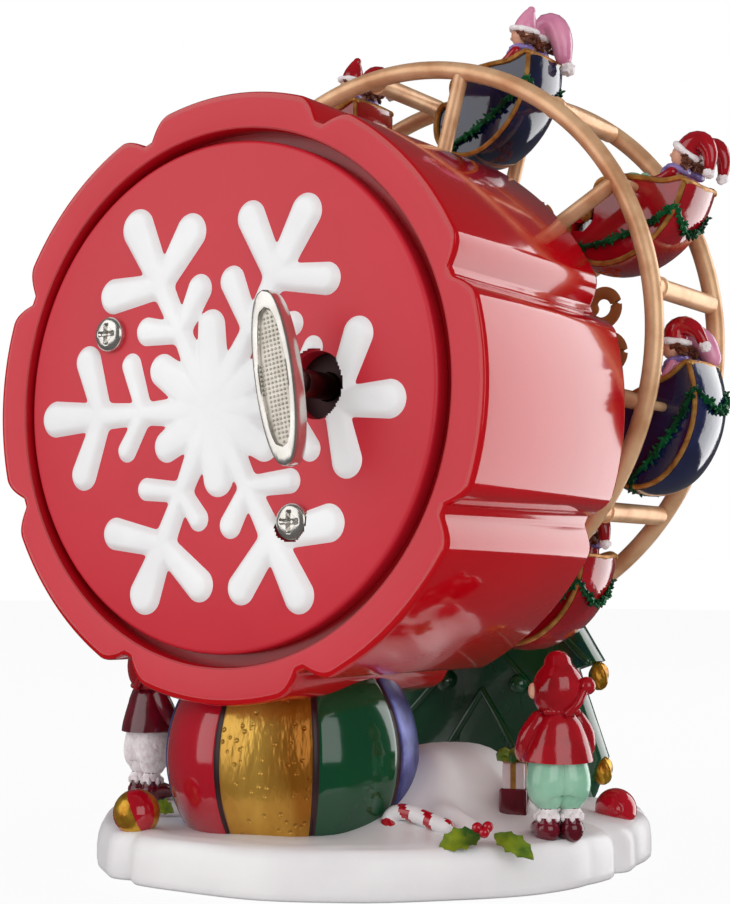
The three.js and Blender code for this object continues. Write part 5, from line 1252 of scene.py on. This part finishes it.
def make_elf(name, node, paints, side, facing, shift, tall_share):
    """An elf about its node's box, back to +Y before it is turned by facing degrees.

    Side is +1 where the tail hangs towards +X, shift moves it in X, and tall_share scales its height.
    """
    low, high, mid, size = measure(node)
    x0, y0, z0 = mid.x + shift, mid.y, low.z
    tall = size.z * tall_share
    bm = bmesh.new()

    def at(x, y, z):
        return (x0 + x * side, y0 + y, z0 + z * tall)

    for foot in (-1, 1):
        fx = foot * 2.0
        bar(bm, [(*at(fx, -3.4, 0.05), 1.5, 1.2), (*at(fx, -1.2, 0.06), 2.0, 1.6), (*at(fx, 1.0, 0.06), 2.0, 1.7)],
            boot_tone, 12, 3)
        bar(bm, [(*at(fx, 0.7, 0.05), 2.0), (*at(fx * 0.98, 0.6, 0.11), 1.7), (*at(fx * 0.97, 0.6, 0.15), 1.6)],
            boot_tone, 12, 3)
        bar(bm, [(*at(fx * 0.97, 0.6, 0.125), 2.05), (*at(fx * 0.96, 0.6, 0.145), 1.85),
                 (*at(fx * 0.94, 0.5, 0.17), 1.5), (*at(fx * 0.9, 0.4, 0.22), 1.5), (*at(fx * 0.85, 0.3, 0.28), 1.6)],
            stocking_tone, 14, 2, round_ends=False)
        for k in range(7):
            turn = math.tau * k / 7
            ball(bm, at(fx * 0.97 + 1.8 * math.cos(turn), 0.6 + 1.8 * math.sin(turn), 0.125), (0.5, 0.5, 0.8),
                 stocking_tone, 1)
        bar(bm, [(*at(fx * 0.9, 0.3, 0.235), 2.5, 2.5), (*at(fx * 0.95, 0.3, 0.25), 3.1, 3.0),
                 (*at(fx * 0.9, 0.3, 0.31), 3.5, 3.3), (*at(fx * 0.7, 0.1, 0.4), 3.4, 3.3),
                 (*at(fx * 0.4, 0, 0.47), 3.1, 3.1)], trouser_tone, 18, 3)
    bar(bm, [(*at(0, 0, 0.425), 5.5, 4.4), (*at(0, 0, 0.435), 5.8, 4.7), (*at(0, 0.1, 0.48), 5.5, 4.4),
             (*at(0, 0.1, 0.57), 4.7, 3.7), (*at(0, 0, 0.65), 3.7, 3.1), (*at(0, 0, 0.7), 2.4, 2.4)],
        jacket_tone, 28, 3, round_ends=False)
    for arm in (-1, 1):
        bar(bm, [(*at(arm * 3.2, 0, 0.655), 1.5), (*at(arm * 4.6, -0.3, 0.58), 1.6), (*at(arm * 5.2, -1.2, 0.5), 1.5),
                 (*at(arm * 4.8, -2.8, 0.46), 1.3)], jacket_tone, 12, 3)
        ball(bm, at(arm * 4.6, -3.6, 0.45), 1.1, ear_tone, 2)
        ball(bm, at(arm * 4.1, -0.2, 0.815), (0.75, 0.9, 1.3), ear_tone, 2)
    ball(bm, at(0, -0.6, 0.8), (3.4, 3.3, 3.5), ear_tone, 3)
    bar(bm, [(*at(0, 0.1, 0.7), 3.0, 2.6), (*at(0, 0.2, 0.75), 3.9, 3.4), (*at(0, 0.4, 0.83), 4.15, 3.7),
             (*at(0, 0.3, 0.9), 3.7, 3.4), (*at(0, 0.1, 0.96), 2.3, 2.2)], cap_tone, 28, 3)
    for k in range(7):
        ball(bm, at(-2.4 + k * 0.8, 2.3 - 0.05 * (k - 3) ** 2, 0.705), (0.75, 0.7, 0.6), cap_tone, 2)
    bar(bm, [(*at(0.6, 3.2, 0.7), 0.7), (*at(2.0, 3.6, 0.75), 0.7), (*at(3.2, 3.2, 0.82), 0.7)], cap_tone, 10, 3)
    ball(bm, at(3.9, 2.6, 0.845), 1.45, cap_tone, 3)
    turn = math.radians(facing)
    about = Matrix.Translation((x0, y0, 0)) @ Matrix.Rotation(turn, 4, "Z") @ Matrix.Translation((-x0, -y0, 0))
    bmesh.ops.transform(bm, matrix=about, verts=bm.verts)
    return piece(name, bm, paints, "figurine", node, sharp=55)


make_elf("elf_right", "right_elf", elf_paints, -1, 48, -1.9, 0.965)
make_elf("elf_left", "left_elf", left_elf_paints, -1, -14, 0, 1)
print("elf heights in mm", [round(measure(node)[3].z, 1) for node in ("right_elf", "left_elf")])

# %% [markdown]
# Small things lie on the snow: a stack of two gifts with a bow, a plain red bauble and a striped one, a candy cane
# and two sprigs of holly. The red bauble shows turned rings; the cane's stripes are painted by face along its bar.

# %% Small trims
low, high, mid, size = measure("gift_stack")
bm = bmesh.new()


def gift_box(centre, sizes, tone):
    old = set(bm.faces)
    place = Matrix.Translation(centre) @ Matrix.Rotation(math.radians(20), 4, "Z") @ Matrix.Diagonal((*sizes, 1))
    made_box = bmesh.ops.create_cube(bm, size=1.0, matrix=place)
    edges = list({edge for vert in made_box["verts"] for edge in vert.link_edges})
    bmesh.ops.bevel(bm, geom=edges, offset=0.4, segments=3, affect="EDGES", profile=0.5, material=-1)
    paint(bm, old, tone)


box_wide = size.x * 0.72
gift_box((mid.x, mid.y, low.z + size.z * 0.26), (box_wide, box_wide, size.z * 0.5), 0)
gift_box((mid.x, mid.y, low.z + size.z * 0.66), (box_wide * 0.8, box_wide * 0.8, size.z * 0.34), 1)
for turn in (20, 110):
    place = Matrix.Translation((mid.x, mid.y, low.z + size.z * 0.42)) @ Matrix.Rotation(math.radians(turn), 4, "Z")
    old = set(bm.faces)
    bmesh.ops.create_cube(bm, size=1.0, matrix=place @ Matrix.Diagonal((0.9, box_wide * 0.82, size.z * 0.84, 1)))
    paint(bm, old, 2)
for k in range(4):
    turn = math.radians(20 + 90 * k)
    x, y = math.cos(turn), math.sin(turn)
    z = low.z + size.z * 0.86
    bar(bm, [(mid.x, mid.y, z, 0.5), (mid.x + x * 1.7, mid.y + y * 1.7, z + 1.3, 0.7),
             (mid.x + x * 2.6, mid.y + y * 2.6, z + 0.2, 0.6), (mid.x, mid.y, z, 0.4)], 3, 8, 3)
piece("gifts", bm, (cloth_wine, gift_pink, trim_gold, leaf_green), "figurine", "gift_stack", sharp=40)

low, high, mid, size = measure("red_ornament")
bm = bmesh.new()
radius = size.x / 2 - 0.5
mid = mid - Vector((0, 0, 1.6))
toward = Vector((-0.42, 0.88, 0.1)).normalized()
rows = []
for a in range(0, 181, 3):
    reach = radius * (1 - 0.035 * math.exp(-((a - 168) / 4) ** 2) + 0.02 * math.exp(-((a - 160) / 3) ** 2))
    rows.append((reach * math.sin(math.radians(a)), -reach * math.cos(math.radians(a))))
turned(bm, rows, mid, toward, 0, 48)
floor_cut = [vert for vert in bm.verts if vert.co.z < low.z]
for vert in floor_cut:
    vert.co.z = low.z
piece("red_bauble", bm, berry_red, "figurine", "red_ornament", sharp=60)

low, high, mid, size = measure("striped_ornament")
bm = bmesh.new()
bmesh.ops.create_uvsphere(bm, u_segments=48, v_segments=24, radius=size.x / 2, matrix=Matrix.Translation(mid) @
                          Matrix.Rotation(math.radians(28), 4, "Y"))
axis = Vector((math.sin(math.radians(28)), 0, math.cos(math.radians(28))))
for face in bm.faces:
    out = face.calc_center_median() - mid
    flat = out - axis * out.dot(axis)
    turn = math.degrees(math.atan2(flat.y, flat.x)) % 360
    face.material_index = int(turn // 60) % 2
for vert in bm.verts:
    if vert.co.z < low.z:
        vert.co.z = low.z
piece("striped_bauble", bm, (berry_red, bauble_gold), "figurine", "striped_ornament", sharp=60)

low, high, mid, size = measure("candy_cane")
bm = bmesh.new()
cane_points = ((-29.6, 19.6, 9.4), (-27.1, 19.2, 9.9), (-24.6, 19.0, 10.5), (-22.2, 19.0, 11.0), (-20.4, 19.1, 11.0),
               (-19.1, 19.4, 10.2), (-19.0, 20.0, 9.0), (-19.8, 20.6, 8.2))
cane_radius = 1.3
stripe_pitch, stripe_share = 4.6, 0.36
path = smooth_path(cane_points, 6)
bar(bm, [(*point, cane_radius) for point in path], 0, 16, 1, (0.56, -0.82, 0.3))
lengths = [0.0]
for before, after in zip(path, path[1:]):
    lengths.append(lengths[-1] + math.dist(before, after))
for face in bm.faces:
    middle = face.calc_center_median()
    nearest = min(range(len(path)), key=lambda k: math.dist(path[k], middle))
    spin = math.atan2(middle.z - path[nearest][2], path[nearest][1] - middle.y)
    if (lengths[nearest] / stripe_pitch + spin / math.tau) % 1 < stripe_share:
        face.material_index = 1
piece("cane", bm, (snow_white, berry_red), "figurine", "candy_cane", sharp=60)
print("the cane is", round(lengths[-1], 1), "mm long")


# Directions a leaf lies in: towards the picture's right, and up the slope of the snow
leaf_right = Vector((-0.83, -0.56, 0))
leaf_up = Vector((0.42, -0.62, 0.66))


def holly_leaf(bm, foot, tip, wide, centre):
    """A serrated leaf from foot to tip, arched a little, that leans back on the snow."""
    foot, tip = (centre + leaf_right * across + leaf_up * rise for across, rise in (foot, tip))
    along = tip - foot
    side = along.cross(leaf_right.cross(leaf_up)).normalized()
    out = leaf_up.cross(leaf_right).normalized()
    out = out if out.z > 0 else -out
    old = set(bm.faces)
    count = 12
    spine = []
    for k in range(count + 1):
        t = k / count
        half = wide * math.sin(math.pi * min(1, t * 0.92 + 0.06)) ** 0.8 * (1.0 if k % 3 else 1.32)
        half = 0.05 if k in (0, count) else half
        middle = foot + along * t + out * 0.6 * math.sin(math.pi * t)
        spine.append([bm.verts.new(middle + side * half + out * 0.3), bm.verts.new(middle),
                      bm.verts.new(middle - side * half + out * 0.3)])
    for before, after in zip(spine, spine[1:]):
        for a in (0, 1):
            bm.faces.new((before[a], before[a + 1], after[a + 1], after[a]))
    fresh = paint(bm, old, 0)
    bmesh.ops.solidify(bm, geom=fresh, thickness=0.5)
    paint(bm, old, 0)


def make_holly(name, node, leaves, berries):
    low, high, mid, size = measure(node)
    bm = bmesh.new()
    centre = Vector((mid.x - 1.2, mid.y + 1.6, low.z + 1.1))
    for foot, tip, wide in leaves:
        holly_leaf(bm, foot, tip, wide, centre)
    for across, rise in berries:
        ball(bm, centre + leaf_right * across + leaf_up * rise + Vector((0, 0.4, 0.4)), 0.9, 1, 2)
    piece(name, bm, (leaf_green, berry_red), "figurine", node, sharp=40)


make_holly("holly_sprig_right", "holly_right", (((0.9, 0.2), (-5.6, -2.6), 1.9), ((2.9, 0.3), (8.6, -4.6), 1.7)),
           ((0.6, 1.2), (2.2, 1.4), (1.6, 0.3)))
make_holly("holly_sprig_left", "holly_left", (((0.4, 0.2), (-4.2, -0.6), 1.5), ((0.6, -0.2), (4.6, -1.4), 1.5)),
           ((0, 0.4), (0.9, 0.9)))

# %% [markdown]
# The movement keeps its CAD solids, because only a dark opening shows. It gets a finish and no new shape; the
# plate's near-black maroon is painted shade for the dark inside behind the keyhole.

# %% Movement, seen only through the keyhole
# The plate's dark maroon is painted shade for the inside of the drum.
shadow_steel = paint_finish("painted_shade_maroon_steel", linear(62, 20, 24), linear(44, 12, 16), rough=0.5, metal=0.4)
for name, finish in (("movement_plate", shadow_steel), ("tone_comb", plate_steel), ("mainspring", plate_steel),
                     ("governor_fan", plate_steel), ("wheel_axle", steel), ("spring_barrel", brass),
                     ("music_cylinder", brass), ("governor_block", brass), ("output_gear", brass),
                     ("front_bush", brass)):
    node = frame["nodes"][name]
    node.data.materials.clear()
    node.data.materials.append(finish)
    print(name, "is finished in", finish.name)

# %% [markdown]
# The stage is a plain pale floor under a white sky. Two large soft lamps light the piece from the viewer's left and
# right, and a tall one stands behind it, to draw the broad pale reflections along the lacquered side.

# %% Camera, floor and light
# The camera was fitted to the photograph with the drum taken as upright
photo_lens = 71.36
camera_data = bpy.data.cameras.new("camera")
camera = bpy.data.objects.new("camera", camera_data)
bpy.context.scene.collection.objects.link(camera)
bpy.context.scene.camera = camera
camera.location = (-0.17893, 0.26211, 0.04744)
looking = Vector((0.56152, -0.82423, 0.07309))
right = Vector((-0.82669, -0.56262, 0.00646))
up = Vector((-0.0358, 0.06405, 0.9973))
camera.matrix_world = Matrix.Translation(camera.location) @ Matrix((right, up, -looking)).transposed().to_4x4()
camera_data.sensor_width = 36
camera_data.lens = photo_lens
camera_data.clip_start = 0.01
print("camera lens in mm", round(camera_data.lens, 2))

floor_white_share = 0.93
soft_strength, mirror_strength = 0.6, 0.07
floor_mesh = bpy.data.meshes.new("floor")
bm = bmesh.new()
bmesh.ops.create_grid(bm, x_segments=1, y_segments=1, size=3.0)
bm.to_mesh(floor_mesh)
bm.free()
floor = bpy.data.objects.new("floor", floor_mesh)
bpy.context.scene.collection.objects.link(floor)
floor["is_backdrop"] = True
floor.visible_glossy = False
floor_material = bpy.data.materials.new("white_floor")
floor_material.use_nodes = True
nodes, links = floor_material.node_tree.nodes, floor_material.node_tree.links
nodes["Principled BSDF"].inputs["Base Color"].default_value = (0.9, 0.9, 0.9, 1)
nodes["Principled BSDF"].inputs["Roughness"].default_value = 0.6
glow = nodes.new("ShaderNodeEmission")
glow.inputs["Strength"].default_value = 1.0
path = nodes.new("ShaderNodeLightPath")
mix = nodes.new("ShaderNodeMixShader")
share = nodes.new("ShaderNodeMath")
share.operation = "MULTIPLY"
share.inputs[1].default_value = floor_white_share
links.new(path.outputs["Is Camera Ray"], share.inputs[0])
links.new(share.outputs[0], mix.inputs[0])
links.new(nodes["Principled BSDF"].outputs[0], mix.inputs[1])
links.new(glow.outputs[0], mix.inputs[2])
links.new(mix.outputs[0], nodes["Material Output"].inputs["Surface"])
floor_mesh.materials.append(floor_material)

world = bpy.data.worlds.new("studio")
bpy.context.scene.world = world
world.use_nodes = True
nodes, links = world.node_tree.nodes, world.node_tree.links
light_path = nodes.new("ShaderNodeLightPath")
seen = nodes.new("ShaderNodeBackground")
seen.inputs["Color"].default_value = (1, 1, 1, 1)
seen.inputs["Strength"].default_value = 1.0
soft = nodes["Background"]
soft.inputs["Color"].default_value = (1, 1, 1, 1)
soft.inputs["Strength"].default_value = soft_strength
mirror = nodes.new("ShaderNodeBackground")
mirror.inputs["Color"].default_value = (1, 1, 1, 1)
mirror.inputs["Strength"].default_value = mirror_strength
glossy_mix = nodes.new("ShaderNodeMixShader")
camera_mix = nodes.new("ShaderNodeMixShader")
links.new(light_path.outputs["Is Glossy Ray"], glossy_mix.inputs[0])
links.new(soft.outputs[0], glossy_mix.inputs[1])
links.new(mirror.outputs[0], glossy_mix.inputs[2])
links.new(light_path.outputs["Is Camera Ray"], camera_mix.inputs[0])
links.new(glossy_mix.outputs[0], camera_mix.inputs[1])
links.new(seen.outputs[0], camera_mix.inputs[2])
links.new(camera_mix.outputs[0], nodes["World Output"].inputs["Surface"])


def soft_lamp(name, place, target, size, size_y, power):
    data = bpy.data.lights.new(name, "AREA")
    data.shape = "RECTANGLE"
    data.size, data.size_y, data.energy = size, size_y, power
    lamp = bpy.data.objects.new(name, data)
    bpy.context.scene.collection.objects.link(lamp)
    lamp.location = place
    lamp.rotation_mode = "QUATERNION"
    lamp.rotation_quaternion = (Vector(target) - Vector(place)).to_track_quat("-Z", "Y")
    lamp.visible_camera = False
    return lamp


middle = (0, 0, 0.08)
soft_lamp("lamp_left", (0.5, 0.78, 0.36), middle, 0.95, 0.95, 3.8)
soft_lamp("lamp_right", (-0.72, 0.42, 0.26), middle, 0.6, 0.6, 1.8)
soft_lamp("lamp_behind", (-0.34, -0.66, 0.16), middle, 0.5, 0.75, 2.9)
bpy.context.scene.view_settings.view_transform = "Standard"

# %% [markdown]
# The box of all that shows is written down beside the CAD's, and each piece that passes the CAD's box is named.

# %% Sizes and the end
low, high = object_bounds()
print("visual box in mm", [round(v / MM, 1) for v in (high - low)])
box_slack = 0.3 * MM
for obj in bpy.context.scene.objects:
    if obj.type != "MESH" or obj.hide_render or obj.name == "floor":
        continue
    corners = [obj.matrix_world @ Vector(corner) for corner in obj.bound_box]
    for k in range(3):
        under = cad_low[k] - min(corner[k] for corner in corners)
        beyond = max(corner[k] for corner in corners) - cad_high[k]
        if max(under, beyond) > box_slack:
            print(obj.name, "passes the CAD box in", "XYZ"[k], "by", round(max(under, beyond) / MM, 1), "mm")
